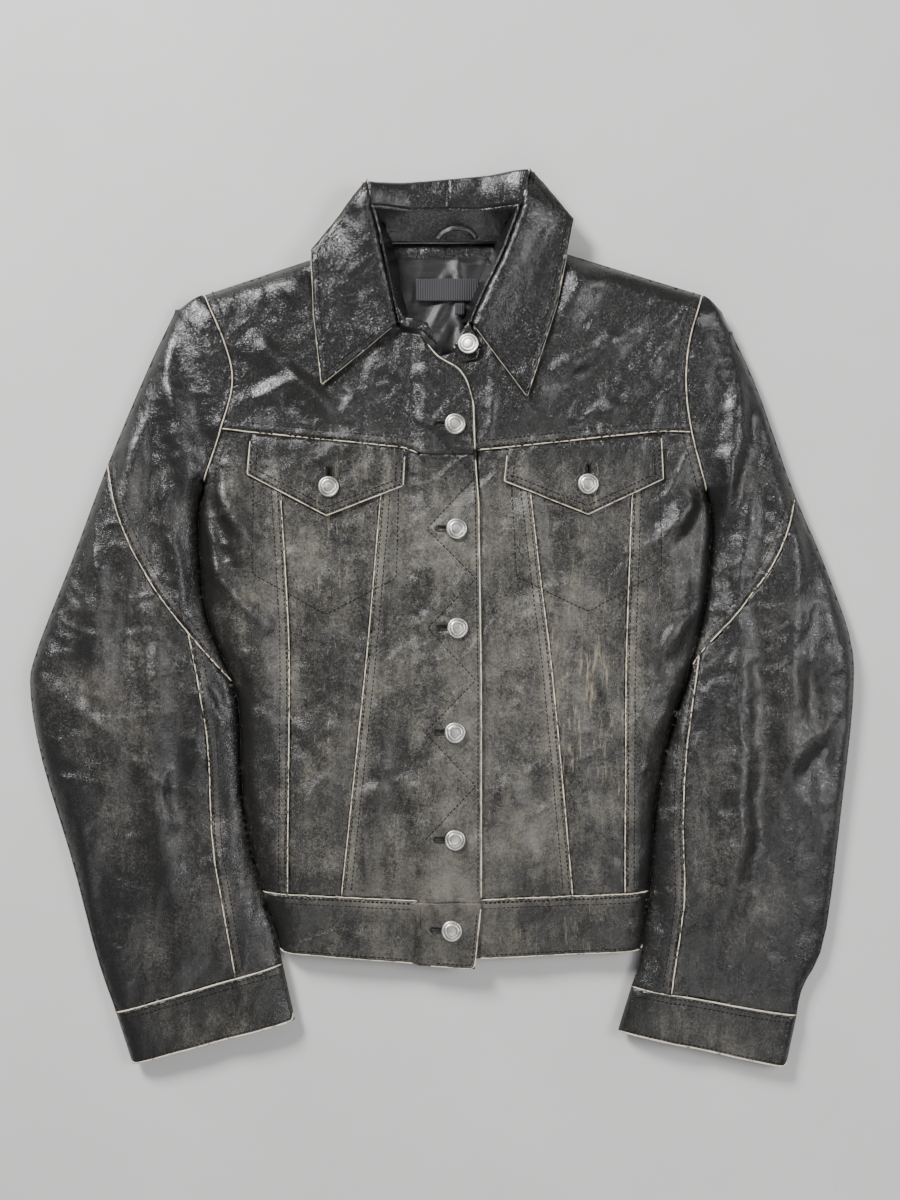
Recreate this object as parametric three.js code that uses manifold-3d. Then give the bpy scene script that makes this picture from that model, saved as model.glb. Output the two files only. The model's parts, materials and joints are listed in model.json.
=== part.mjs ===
// Leather trucker jacket lying on its back, buttoned, millimetres, +Z up.
// Origin: middle of the footprint, on the surface it lies on. +Y points to the collar.
// "Right" and "left" are the wearer's, so the right side has negative X.
import * as THREE from 'three';
import { mergeVertices } from 'three/addons/utils/BufferGeometryUtils.js';
import Module from 'manifold-3d';

// ---- Driving dimensions ---------------------------------------------------------------
const overallWidth = 695; // elbow to elbow
const overallLength = 757; // collar fold to the lower cuff corner
const jacketDepth = 20.6; // inside height between the floor and the front leather's underside
const leather = 1.5; // one layer of garment leather
const doubledLeather = 2.4; // turned and stitched leather: flaps, collar leaves
const facingLeather = 1.0; // skived leather behind the front edge
const liningCloth = 0.8;
const ribbon = 0.6; // label and tab
const gap = 0.3; // clearance between separate pieces that touch
const sleeveGap = 0.6; // between the sleeve and the torso's side
const liningDrop = 7.6; // front leather's underside to the front lining's underside
const pocketClearance = 5.4; // inside height of a chest pocket
const pocketMouth = 13.5; // yoke seam to the top edge of the pocket, under the flap
const buttonDiameter = 17.5;
const buttonholeClearance = 1.1; // round the head, on the radius
const buttonDome = 3.6; // head height above the leather that it holds
const tackDiameter = 10;
const shankDiameter = 4.4;
const standWall = 2; // collar stand, doubled leather on edge
const loopWidth = 4;
const loopThickness = 1.2;

// ---- Levels worked out from them ------------------------------------------------------
const front = jacketDepth;
const frontTop = front + leather;
const lap = frontTop + gap; // underside of what lies on the front leather
const facingTop = lap + facingLeather;
const edgeBottom = facingTop + gap;
const edgeTop = edgeBottom + leather;
const flapTop = lap + doubledLeather;
const liningLevel = front - liningDrop;
const bagLevel = liningLevel + liningCloth + gap;
const bagFloor = front - gap - pocketClearance;
const wallTop = front - gap;

// ---- Grading: every outline below is drafted for this size, then graded ---------------
const draftWidth = 695;
const draftLength = 757;
const gradeX = overallWidth / draftWidth;
const gradeY = overallLength / draftLength;
const draft = (points) => points.map(([x, y]) => new THREE.Vector2(x * gradeX, y * gradeY));
const smooth = (points, pieces) => new THREE.SplineCurve(draft(points)).getPoints(pieces);

// ---- Solids ---------------------------------------------------------------------------
const wasm = await Module();
wasm.setup();

function solidOf(geometry) {
  geometry.deleteAttribute('normal');
  geometry.deleteAttribute('uv');
  const merged = mergeVertices(geometry, 1e-4);
  const vertProperties = merged.attributes.position.array;
  const triVerts = new Uint32Array(merged.index.array);
  return new wasm.Manifold(new wasm.Mesh({ numProp: 3, vertProperties, triVerts }));
}

function geometryOf(solid) {
  const mesh = solid.getMesh();
  const geometry = new THREE.BufferGeometry();
  geometry.setAttribute('position', new THREE.BufferAttribute(mesh.vertProperties, 3));
  geometry.setIndex(new THREE.BufferAttribute(mesh.triVerts, 1));
  return geometry.toNonIndexed();
}

const area = (points) => THREE.ShapeUtils.area(points);

function plate(points, low, high) {
  const outline = area(points) < 0 ? [...points].reverse() : points;
  const shape = new THREE.Shape(outline);
  const geometry = new THREE.ExtrudeGeometry(shape, { depth: high - low, bevelEnabled: false });
  return solidOf(geometry.translate(0, 0, low));
}

const join = (...solids) => solids.reduce((whole, next) => whole.add(next));
const cut = (solid, ...tools) => tools.reduce((rest, tool) => rest.subtract(tool), solid);

function disc(centre, radius, low, high, sides = 32) {
  const geometry = new THREE.CylinderGeometry(radius, radius, high - low, sides);
  geometry.rotateX(Math.PI / 2);
  return solidOf(geometry.translate(centre.x, centre.y, (low + high) / 2));
}

// ---- Lines in plan --------------------------------------------------------------------
// The line moved sideways: positive is to the left of its direction.
function parallel(line, distance) {
  return line.map((point, i) => {
    const before = line[Math.max(i - 1, 0)];
    const after = line[Math.min(i + 1, line.length - 1)];
    const along = after.clone().sub(before).normalize();
    return point.clone().add(new THREE.Vector2(-along.y, along.x).multiplyScalar(distance));
  });
}

const between = (a, b) => [...a, ...[...b].reverse()];
const midway = (a, b, share) => a.clone().lerp(b, share);

// Both ends of the line carried on straight by the same length.
function extended(line, length) {
  const start = line[0].clone().sub(line[1]).setLength(length).add(line[0]);
  const end = line.at(-1).clone().sub(line.at(-2)).setLength(length).add(line.at(-1));
  return [start, ...line, end];
}

// Side lines run from the collar to the hem, cross lines from the side to the centre.
const outward = (side, line, distance) => parallel(line, side.out * distance);
const raised = (side, line, distance) => parallel(line, -side.out * distance);

// ---- The pattern, each side ------------------------------------------------------------
const far = 0.6 * Math.max(overallWidth, overallLength); // reaches past the whole jacket
const placketLine = -19.5; // where the right front edge turns back
const underLine = -14; // edge of the left front under the right one

const right = {
  name: 'right',
  out: -1,
  neck: draft([[-58, 322], [-49, 288], [-43, 258], [-34, 240], [-21.5, 238]]),
  shoulder: draft([[-58, 322], [-110, 303], [-200, 273]]),
  crownEdge: draft([[-200, 273], [-225, 259]]),
  wrist: draft([[-123, -340]])[0],
  armhole: smooth([[-200, 273], [-182, 232], [-175, 198], [-185, 158], [-200.4, 114]], 14),
  inner: smooth([[-200.7, 114], [-205.7, 84], [-201.5, 16], [-190, -22], [-172.5, -69],
    [-168, -154], [-152, -230], [-141, -263], [-134.5, -291]], 26),
  outer: smooth([[-225, 259], [-248, 211], [-282, 130], [-312, 50], [-342, -27], [-347.5, -61],
    [-337.5, -120], [-312, -205], [-291, -286], [-275, -332]], 30),
  cuff: draft([[-275, -332], [-134.5, -291], [-124.2, -338], [-261, -375.3]]),
  elbow: smooth([[-282, 130.5], [-269.5, 84], [-248, 37], [-218, -5], [-185, -44]], 14),
  forearm: smooth([[-213, -10], [-197, -95], [-193, -180], [-184, -239], [-171, -315]], 12),
  yokeSeam: draft([[-186, 159], [-160, 156], [-31, 143], [-21, 138.6]]),
  seams: [
    smooth([[-137, 154], [-134.5, 104], [-130, 23], [-127.7, -52], [-129, -232]], 12),
    smooth([[-48, 145], [-51.3, 102], [-58, 23], [-65, -52], [-84.3, -234]], 12),
  ],
  waist: draft([[-152, -229.4], [-21, -236]]),
  hem: draft([[-139, -280], [-20, -289.4]]),
  flap: draft([[-159.7, 155.2], [-162.4, 120.7], [-96.4, 86], [-32.2, 111], [-30.5, 142]]),
  flapButton: draft([[-94.4, 110.2]])[0],
  pocket: draft([[-159, 153], [-159.7, 36.6], [-97.2, 1.9], [-36.6, 33], [-34, 141]]),
  centreLine: placketLine - 2 * gap,
};

const left = {
  name: 'left',
  out: 1,
  neck: draft([[66, 322], [52, 303], [34, 270], [26, 244], [14, 224], [-13.5, 216]]),
  shoulder: draft([[66, 322], [110.5, 306], [219, 273]]),
  crownEdge: draft([[219, 273], [236, 258], [245, 240]]),
  wrist: draft([[147, -348]])[0],
  armhole: smooth([[219, 273], [208, 237], [204, 198], [209, 155], [222, 107]], 14),
  inner: smooth([[223, 107], [228.5, 84], [224.4, 24], [210.8, -39.5], [195.5, -86], [182, -146],
    [175, -231], [168.5, -282], [160, -310]], 26),
  outer: smooth([[245, 240], [266, 194], [296, 109], [321, 50], [345, -18], [346.9, -69],
    [338, -154], [323, -269], [304.5, -311], [299.4, -334.5]], 30),
  cuff: draft([[299.4, -334.5], [160, -310], [148.6, -347.2], [290, -378]]),
  elbow: smooth([[298, 103], [279, 50], [249, 7], [219, -27], [208, -46]], 14),
  forearm: smooth([[217, -29], [205, -112], [202, -180], [203, -239], [190, -330]], 12),
  yokeSeam: draft([[211, 156], [184, 157], [52, 143], [-16, 137]]),
  seams: [
    smooth([[161, 154], [159, 105], [156, 26], [153.8, -52], [153, -231]], 12),
    smooth([[70, 145], [74, 105], [82.4, 34], [93, -52], [109.7, -233]], 12),
  ],
  waist: draft([[177, -229], [32, -235.5], [-16, -236]]),
  hem: draft([[167.5, -278.6], [-16, -287]]),
  flap: draft([[183.3, 155.2], [184.9, 116.6], [121.9, 87], [52, 115], [55.1, 143]]),
  flapButton: draft([[121.9, 112.4]])[0],
  pocket: draft([[183, 153.5], [184.9, 39.3], [122.7, 4.3], [61.1, 34], [55.1, 141]]),
  centreLine: underLine,
};

// The point of a falling line at a height.
function pointAt(line, y) {
  const i = line.findIndex((point) => point.y <= y);
  const [above, below] = [line[i - 1], line[i]];
  return midway(above, below, (above.y - y) / (above.y - below.y));
}

for (const side of [right, left]) {
  side.crown = side.crownEdge.at(-1);
  side.foldLine = [side.crown, side.wrist];
  side.armpit = side.armhole.at(-1);
  side.sideLine = outward(side, side.inner, -sleeveGap);
  side.hemCorner = pointAt(side.sideLine, side.hem[0].y);
}

// The collar's roll lines, and the space between them, which the stand's walls line.
const roll = {
  right: draft([[-58.5, 344.5], [-52.8, 322], [-44.7, 284], [-39.4, 258], [-36.6, 247]]),
  left: draft([[67, 344.5], [64, 338], [51, 303], [34, 268], [25, 247]]),
};
const neckTool = plate(between(roll.right, roll.left), -far, far);

// Everything between a side's armhole, side line, hem, neck and its centre edge.
function torsoOutline(side, inset = 0) {
  const line = [...side.shoulder, ...side.armhole.slice(1), ...side.sideLine.slice(1)];
  const corner = side.hemCorner.clone().setX(side.hemCorner.x - side.out * inset);
  const edge = outward(side, line, -inset).filter((point) => point.y > corner.y + 1);
  const centre = side.centreLine * gradeX;
  return [...edge, corner, new THREE.Vector2(centre, side.hem.at(-1).y),
    new THREE.Vector2(centre, side.neck.at(-1).y), ...side.neck.slice(1, -1).reverse()];
}

// A tool that keeps what lies below one cross line and above the next.
function band(side, upper, lower) {
  const reach = (line) => extended(line, far);
  return plate(between(reach(upper), reach(lower)), -far, far);
}
const ceiling = (side) => [new THREE.Vector2(side.out * far, far), new THREE.Vector2(0, far)];
const floorLine = (side) => [new THREE.Vector2(side.out * far, -far), new THREE.Vector2(0, -far)];

function bands(side) {
  const half = gap / 2;
  return {
    yoke: band(side, ceiling(side), raised(side, side.yokeSeam, half)),
    body: band(side, raised(side, side.yokeSeam, -half), raised(side, side.waist, half)),
    waist: band(side, raised(side, side.waist, -half), floorLine(side)),
  };
}

// A tool that keeps what lies between two side lines.
const overrun = 60;
const topLine = [new THREE.Vector2(-far, far), new THREE.Vector2(far, far)];
const bottomLine = [new THREE.Vector2(-far, -far), new THREE.Vector2(far, -far)];
const levelLine = (y) => topLine.map((point) => point.clone().setY(y * gradeY));
function column(outer, inner) {
  return plate(between(extended(outer, overrun), extended(inner, overrun)), -far, far);
}
const edgeLine = (x) => [new THREE.Vector2(x, far), new THREE.Vector2(x, -far)];
const outsideOf = (side, line) => column(edgeLine(side.out * far), line);
const insideOf = (side, line) => column(line, edgeLine(-side.out * far));

// ---- Named pieces ----------------------------------------------------------------------
const jacket = new THREE.Group();

function finish(colour, roughness, metalness = 0) {
  return new THREE.MeshStandardMaterial({ color: colour, roughness, metalness });
}
const finishes = {
  shell: finish(0x23211f, 0.5),
  trim: finish(0x2b2825, 0.55),
  satin: finish(0x141314, 0.35),
  label: finish(0x101011, 0.8),
  metal: finish(0xb9bab6, 0.35, 0.9),
};

function add(name, solid, material) {
  const mesh = new THREE.Mesh(geometryOf(solid), material);
  mesh.name = name;
  jacket.add(mesh);
}

// ---- Buttons ---------------------------------------------------------------------------
const headRadius = buttonDiameter / 2;
const shankRadius = shankDiameter / 2;

const shankHole = (centre) => disc(centre, shankRadius + gap, -far, far, 12);
const buttonhole = (centre) => disc(centre, headRadius + buttonholeClearance, -far, far, 24);

// One turned solid: tack under the layer at `base`, shank through it, domed head above `seat`.
function button(name, centre, base, layer, seat) {
  const tack = tackDiameter / 2;
  const headBottom = seat + gap;
  const domeTop = headBottom + buttonDome;
  const outline = [
    [0, base - gap - facingLeather], [tack, base - gap - facingLeather], [tack, base - gap],
    [shankRadius, base - gap], [shankRadius, headBottom], [headRadius - 1, headBottom],
    [headRadius, headBottom + 0.8], [headRadius, headBottom + 2], [headRadius - 0.9, domeTop - 0.7],
    [headRadius - 2.2, domeTop - 0.5], [headRadius * 0.45, domeTop - 0.1], [0, domeTop],
  ];
  const profile = outline.map(([radius, height]) => new THREE.Vector2(radius, height));
  const geometry = new THREE.LatheGeometry(profile, 16).rotateX(Math.PI / 2);
  add(name, solidOf(geometry.translate(centre.x, centre.y, 0)), finishes.metal);
}

const frontButtons = draft([[11, 162.4], [12.4, 75.2], [13.2, -7.7], [11, -94.8], [11.1, -184.5],
  [8.2, -260.9]]);
const collarButton = draft([[22, 229.5]])[0];

// ---- Fronts ----------------------------------------------------------------------------
// The middle panel's top edge is the pocket's mouth: it stops short of the yoke, under the flap.
const belowMouth = (side) => band(side, raised(side, side.yokeSeam, -pocketMouth), floorLine(side));

function frontPanels(side) {
  const whole = cut(plate(torsoOutline(side), front, frontTop), neckTool);
  const { yoke, body, waist } = bands(side);
  const [outer, inner] = side.seams;
  const half = gap / 2;
  const outside = outsideOf(side, outward(side, outer, half));
  const middle = column(outward(side, outer, -half), outward(side, inner, half));
  const inside = insideOf(side, outward(side, inner, -half));
  const holes = side === left ? frontButtons.map(shankHole) : [];
  const topHole = side === left ? [shankHole(collarButton)] : [];
  const flapHole = shankHole(side.flapButton);
  const bodyPart = whole.intersect(body);
  add(`yoke_${side.name}`, cut(whole.intersect(yoke), ...holes, ...topHole), finishes.shell);
  add(`side_panel_${side.name}`, bodyPart.intersect(outside), finishes.shell);
  const pocketFront = bodyPart.intersect(middle).intersect(belowMouth(side));
  add(`middle_panel_${side.name}`, cut(pocketFront, flapHole), finishes.shell);
  add(`waistband_${side.name}`, cut(whole.intersect(waist), ...holes), finishes.trim);
  return cut(bodyPart.intersect(inside), ...holes);
}

const standEdge = 29.5; // where the button stand meets the left centre panel

function centrePanels() {
  add('centre_panel_right', frontPanels(right), finishes.shell);
  const leftCentre = frontPanels(left);
  const seam = standEdge * gradeX;
  const beyond = outsideOf(left, edgeLine(seam + gap / 2));
  const under = insideOf(left, edgeLine(seam - gap / 2));
  add('centre_panel_left', leftCentre.intersect(beyond), finishes.shell);
  add('button_stand_left', leftCentre.intersect(under), finishes.shell);
}

const edgeYokeSeam = 137.3;
const edgeWaistSeam = -237.5;

// The right front edge lies over the left one and turns back about the placket line.
function rightFrontEdge() {
  const x = placketLine * gradeX;
  const top = draft([[0, 238], [0, 137.6], [0, -236.5], [0, -290]]);
  top.forEach((point) => point.setX(x));
  const overEdge = draft([[-3.6, 219], [14.3, 209], [20.8, 199.4], [26.4, 180], [27.6, 137],
    [30.6, 97.6], [32.8, -52], [32.8, -238.5], [27.3, -293.4]]);
  const outline = [top[0], ...overEdge, top.at(-1)];
  const holes = frontButtons.map(buttonhole);
  const whole = cut(plate(outline, edgeBottom, edgeTop), ...holes);
  const backing = cut(plate(outline, lap, facingTop), ...holes);
  const yokeSeam = levelLine(edgeYokeSeam);
  const waistSeam = levelLine(edgeWaistSeam);
  const half = gap / 2;
  const above = plate(between(topLine, parallel(yokeSeam, half)), -far, far);
  const middle = plate(between(parallel(yokeSeam, -half), parallel(waistSeam, half)), -far, far);
  const below = plate(between(parallel(waistSeam, -half), bottomLine), -far, far);
  add('yoke_edge_right', whole.intersect(above), finishes.shell);
  add('placket_right', whole.intersect(middle), finishes.shell);
  add('waistband_tab_right', whole.intersect(below), finishes.trim);
  add('facing_right', backing, finishes.shell);
}

function leftFacing() {
  const top = front - gap - facingLeather - gap;
  const outline = draft([[-14, 214], [16, 222], [33, 236], [46, 180], [44, -284], [-14, -284]]);
  add('facing_left', plate(outline, top - facingLeather, top), finishes.shell);
}

// ---- Pockets ---------------------------------------------------------------------------
function pocketFlap(side) {
  const solid = plate(side.flap, lap, flapTop);
  add(`pocket_flap_${side.name}`, cut(solid, buttonhole(side.flapButton)), finishes.shell);
}

// An open tray hung under the front: the front leather closes it, but for the slit.
function pocketBag(side) {
  const rim = side.pocket;
  const closed = [...rim, rim[0], rim[1]];
  const turn = area(rim) > 0 ? 1 : -1;
  const inside = parallel(closed, turn * liningCloth).slice(1, -1);
  const block = plate(rim, bagLevel, wallTop);
  const bag = cut(block, plate(inside, bagFloor, front + far));
  add(`pocket_bag_${side.name}`, bag, finishes.satin);
}

// ---- Back ------------------------------------------------------------------------------
function wall(side, line, low, high) {
  return plate(between(line, outward(side, line, -leather)), low, high);
}

const neckSeamY = 318.5;
const fallSeamY = 345;
const backYokeSeam = 128;
const backSeams = [[78, 128], [56, -230]];

function backPanels() {
  const neckFill = draft([[-58, 318], [66, 318], [66, 180], [-58, 180]]);
  const floorOf = (side) => plate(torsoOutline(side), 0, leather);
  const middleFill = draft([[-60, 300], [60, 300], [60, -278], [-60, -278]]);
  const whole = join(floorOf(right), floorOf(left), plate(neckFill, 0, leather),
    plate(middleFill, 0, leather));
  const half = gap / 2;
  const yokeSeam = levelLine(backYokeSeam);
  const waistSeam = levelLine((right.waist[0].y + left.waist[0].y) / 2 / gradeY);
  const yokeBand = plate(between(topLine, parallel(yokeSeam, half)), -far, far);
  const bodyBand = plate(between(parallel(yokeSeam, -half), parallel(waistSeam, half)), -far, far);
  const waistBand = plate(between(parallel(waistSeam, -half), bottomLine), -far, far);
  const walls = {};
  for (const side of [right, left]) {
    const edge = side.sideLine.filter((point) => point.y > side.hemCorner.y);
    walls[side.name] = wall(side, [...edge, side.hemCorner], 0, wallTop);
  }
  const shoulders = [right, left].map((side) => {
    const inner = outward(side, side.shoulder, -leather);
    return plate(between(side.shoulder, inner), 0, wallTop);
  });
  const yoke = join(whole.intersect(yokeBand), ...shoulders);
  add('back_yoke', yoke, finishes.shell);
  const ends = [right, left].map((side) => walls[side.name].intersect(waistBand));
  add('waistband_back', join(whole.intersect(waistBand), ...ends), finishes.trim);
  const seam = (out) => draft(backSeams.map(([x, y]) => [out * x, y]));
  const centre = column(parallel(seam(1), -half), parallel(seam(-1), half));
  add('back_centre_panel', whole.intersect(bodyBand).intersect(centre), finishes.shell);
  for (const side of [right, left]) {
    const outside = outsideOf(side, outward(side, seam(side.out), half));
    const panel = join(whole.intersect(bodyBand).intersect(outside),
      walls[side.name].intersect(bodyBand));
    add(`back_side_panel_${side.name}`, panel, finishes.shell);
  }
}

// ---- Linings, label, loop --------------------------------------------------------------
const liningEdge = { right: -43.5, left: 48 }; // where the front linings meet the leather edges

function linings() {
  const inset = leather + gap;
  const low = leather + gap;
  const back = [right, left].map((side) => plate(torsoOutline(side, inset), low, low + liningCloth));
  const fill = draft([[-60, 305], [60, 305], [60, -274], [-60, -274]]);
  add('back_lining', join(...back, plate(fill, low, low + liningCloth)), finishes.satin);
  for (const side of [right, left]) {
    const sheet = cut(plate(torsoOutline(side, inset), liningLevel, liningLevel + liningCloth),
      neckTool);
    const keep = outsideOf(side, edgeLine(liningEdge[side.name] * gradeX));
    add(`front_lining_${side.name}`, sheet.intersect(keep), finishes.satin);
  }
  const face = low + liningCloth + gap;
  const label = draft([[-22, 287], [31, 287], [31, 268], [-22, 268]]);
  const tab = draft([[11, 266], [19, 266], [19, 256], [11, 256]]);
  add('neck_label', plate(label, face, face + ribbon), finishes.label);
  add('size_tab', plate(tab, face, face + ribbon), finishes.label);
}

function hangerLoop() {
  const level = leather + gap + standWall + gap;
  const path = smooth([[-6, 321], [0, 327], [12, 330.5], [25, 328], [31, 322]], 12);
  add('hanger_loop', plate(between(path, parallel(path, -loopWidth)), level, level + loopThickness),
    finishes.trim);
}

// ---- Collar ----------------------------------------------------------------------------
const standClearance = 0.5; // roll line to the wall under it

function collarStand() {
  const low = leather + gap;
  const onLining = low + liningCloth + gap;
  const walls = [right, left].map((side) => {
    const line = roll[side.name];
    const outer = outward(side, line, -standClearance);
    return plate(between(outer, outward(side, outer, -standWall)), onLining, flapTop);
  });
  const back = draft([[-49, neckSeamY], [-57, fallSeamY], [65, fallSeamY], [56, neckSeamY]]);
  const rightEnd = draft([[-38, 262], [-31, 252], [-12, 247], [-2.5, 227], [-17, 240.5],
    [-34, 244], [-36, 247]]);
  const leftEnd = draft([[25.2, 253], [24, 246.5], [27, 240], [33, 228], [29, 217], [15, 214.5],
    [9, 226], [17, 241]]);
  const stand = join(...walls, plate(back, low, low + standWall),
    plate(rightEnd, lap, lap + leather), plate(leftEnd, lap, lap + leather));
  add('collar_stand', cut(stand, shankHole(collarButton)), finishes.shell);
}

// The fall folds over at the top edge and lies back under the stand.
function collarFall() {
  const low = leather + gap;
  const foldEdge = smooth([[-61, 366], [-24, 361.5], [8, 362], [40, 367], [72, 376]], 10);
  const bottom = draft([[58, 323], [-50, 323]]);
  const inner = draft([[68, fallSeamY + 0.8], [-59, fallSeamY + 0.8]]);
  const under = plate([...foldEdge, ...bottom], 0, leather);
  const over = plate([...foldEdge, ...inner], low, low + leather);
  const fold = plate(between(foldEdge, parallel(foldEdge, -leather)), 0, low + leather);
  add('collar_back_fall', join(under, over, fold), finishes.shell);
}

function collarLeaves() {
  const rightLeaf = [...draft([[-61.8, 367.5]]), ...roll.right,
    ...draft([[-100.4, 195.4], [-107, 255], [-109.3, 308.4]])];
  const leftLeaf = [...draft([[73.5, 378]]), ...roll.left,
    ...draft([[71.2, 185.6], [96, 262], [110.2, 334.5]])];
  add('collar_leaf_right', plate(rightLeaf, lap, flapTop), finishes.shell);
  add('collar_leaf_left', plate(leftLeaf, lap, flapTop), finishes.shell);
}

// ---- Sleeves ---------------------------------------------------------------------------
// The torso and its clearance, to cut from what lies beside it.
const torsoTool = (side) => plate(torsoOutline(side, -gap), -far, far);

// The cap stays with the torso: two plates joined by the folded edge at the shoulder.
function sleeveCap(side) {
  const seam = outward(side, side.armhole, gap);
  const fold = outward(side, side.foldLine, -gap / 2);
  const armpit = midway(...fold, (side.crown.y - side.armpit.y) / (side.crown.y - side.wrist.y));
  const crown = [...side.crownEdge].reverse().slice(1, -1);
  const outline = [...seam.slice(0, -1), armpit, fold[0], ...crown];
  const edge = outward(side, side.crownEdge, -leather);
  const inner = between(side.crownEdge, edge);
  const shoulderPoint = disc(side.shoulder.at(-1), leather + gap, -far, far);
  const allowed = cut(insideOf(side, fold), torsoTool(side), shoulderPoint);
  const cap = join(plate(outline, 0, leather), plate(outline, front, frontTop),
    plate(inner, 0, frontTop).intersect(plate(outline, 0, frontTop)));
  add(`sleeve_cap_${side.name}`, cap.intersect(allowed), finishes.shell);
}

function sleeveOutline(side) {
  const lifted = parallel(side.cuff.slice(0, 2), side.out * -gap / 2);
  return [...side.outer.slice(0, -1), lifted[0], lifted[1], ...[...side.inner].reverse().slice(1)];
}

function sleeve(side) {
  const fold = outward(side, side.foldLine, gap / 2);
  const beyond = cut(outsideOf(side, fold), torsoTool(side));
  const outline = sleeveOutline(side);
  const trimTo = (solid) => solid.intersect(plate(outline, 0, frontTop)).intersect(beyond);
  const top = trimTo(plate(outline, front, frontTop));
  const half = gap / 2;
  const elbow = extended(side.elbow, 30);
  const upward = [[0, -60], [0, far], [far, far]].map(([x, y]) => [side.out * x, y]);
  const downward = [[60, -60], [60, -far], [far, -far], [far, 100]].map(([x, y]) => [side.out * x, y]);
  const above = plate([...outward(side, elbow, -half), ...draft(upward)], -far, far);
  const below = plate([...outward(side, elbow, half), ...draft(downward)], -far, far);
  const outerSide = outsideOf(side, outward(side, side.forearm, half));
  const innerSide = insideOf(side, outward(side, side.forearm, -half));
  add(`sleeve_upper_${side.name}`, top.intersect(above), finishes.shell);
  add(`sleeve_forearm_${side.name}`, top.intersect(below).intersect(outerSide), finishes.shell);
  add(`sleeve_inner_${side.name}`, top.intersect(below).intersect(innerSide), finishes.shell);

  const walls = [outward(side, side.outer, -leather), side.inner].map((line, i) => {
    const other = i === 0 ? side.outer : outward(side, side.inner, leather);
    return plate(between(extended(line, 2), extended(other, 2)), 0, wallTop);
  });
  const under = join(plate(outline, 0, leather), ...walls);
  add(`under_sleeve_${side.name}`, trimTo(under), finishes.shell);

  const inset = leather + gap;
  const tube = (grow, low, high) => plate(between(
    extended(outward(side, side.outer, -grow), grow - inset),
    extended(outward(side, side.inner, grow), grow - inset),
  ), low, high);
  const lining = cut(tube(inset + 0.001, inset, front - gap),
    tubeHollow(side, inset + liningCloth, inset + liningCloth, front - gap - liningCloth));
  add(`sleeve_lining_${side.name}`, trimTo(lining), finishes.satin);
}

function tubeHollow(side, inset, low, high) {
  const outer = extended(outward(side, side.outer, -inset), 30);
  const inner = extended(outward(side, side.inner, inset), 30);
  return plate(between(outer, inner), low, high);
}

function cuff(side) {
  const [topOuter, topInner, hemInner, hemOuter] = side.cuff;
  const lowered = parallel([topOuter, topInner], side.out * gap / 2);
  const outline = [lowered[0], lowered[1], hemInner, hemOuter];
  const along = topInner.clone().sub(topOuter).normalize();
  const inset = (point, share) => point.clone().addScaledVector(along, share * doubledLeather);
  const outerWall = extended([inset(topOuter, 1), inset(hemOuter, 1)], 10);
  const innerWall = extended([inset(topInner, -1), inset(hemInner, -1)], 10);
  const hollow = plate(between(outerWall, innerWall), doubledLeather, frontTop - doubledLeather);
  const ring = cut(plate(outline, 0, frontTop), hollow);
  add(`cuff_${side.name}`, ring, finishes.trim);
}

// ---- Assembly --------------------------------------------------------------------------
centrePanels();
rightFrontEdge();
leftFacing();
backPanels();
linings();
hangerLoop();
collarStand();
collarFall();
collarLeaves();
for (const side of [right, left]) {
  pocketFlap(side);
  pocketBag(side);
  sleeveCap(side);
  sleeve(side);
  cuff(side);
  button(`flap_button_${side.name}`, side.flapButton, front, leather, flapTop);
}
frontButtons.forEach((centre, i) => button(`front_button_${i + 2}`, centre, front, leather, edgeTop));
button('front_button_1', collarButton, front, leather, lap + leather);

export default jacket;
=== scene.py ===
import json
import math
from functools import lru_cache

import bpy
import numpy as np
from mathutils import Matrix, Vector
from mathutils.geometry import delaunay_2d_cdt
from mathutils.kdtree import KDTree


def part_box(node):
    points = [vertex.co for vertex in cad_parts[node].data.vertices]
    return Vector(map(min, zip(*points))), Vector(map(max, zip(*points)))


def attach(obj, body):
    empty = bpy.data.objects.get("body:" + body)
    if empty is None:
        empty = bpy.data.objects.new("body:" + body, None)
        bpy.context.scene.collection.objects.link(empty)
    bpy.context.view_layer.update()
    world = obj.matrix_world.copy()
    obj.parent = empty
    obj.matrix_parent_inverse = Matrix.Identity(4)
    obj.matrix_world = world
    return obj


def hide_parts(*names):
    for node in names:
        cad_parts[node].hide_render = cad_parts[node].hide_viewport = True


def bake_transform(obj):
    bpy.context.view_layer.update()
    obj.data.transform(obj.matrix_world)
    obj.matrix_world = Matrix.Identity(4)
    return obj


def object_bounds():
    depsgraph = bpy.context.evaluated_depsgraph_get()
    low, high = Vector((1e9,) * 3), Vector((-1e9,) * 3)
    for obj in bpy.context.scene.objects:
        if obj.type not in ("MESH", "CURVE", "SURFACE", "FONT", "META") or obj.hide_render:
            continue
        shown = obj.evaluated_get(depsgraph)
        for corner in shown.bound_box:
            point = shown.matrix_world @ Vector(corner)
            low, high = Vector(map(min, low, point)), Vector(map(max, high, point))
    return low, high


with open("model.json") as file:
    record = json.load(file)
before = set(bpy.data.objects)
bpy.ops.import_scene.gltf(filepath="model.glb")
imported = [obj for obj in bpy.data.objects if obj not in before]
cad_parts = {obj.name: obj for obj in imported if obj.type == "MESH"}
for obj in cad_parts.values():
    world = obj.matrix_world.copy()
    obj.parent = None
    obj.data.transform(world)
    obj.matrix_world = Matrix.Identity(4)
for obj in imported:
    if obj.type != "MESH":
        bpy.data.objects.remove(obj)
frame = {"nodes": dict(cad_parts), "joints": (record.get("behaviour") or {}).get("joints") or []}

# Lengths are in millimetres until a mesh is made, and the frame is in metres.
MM = 0.001
CAD_BOX = [list(corner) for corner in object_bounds()]
NODES = frame["nodes"]
SIDES = {"right": -1, "left": 1}

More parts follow.
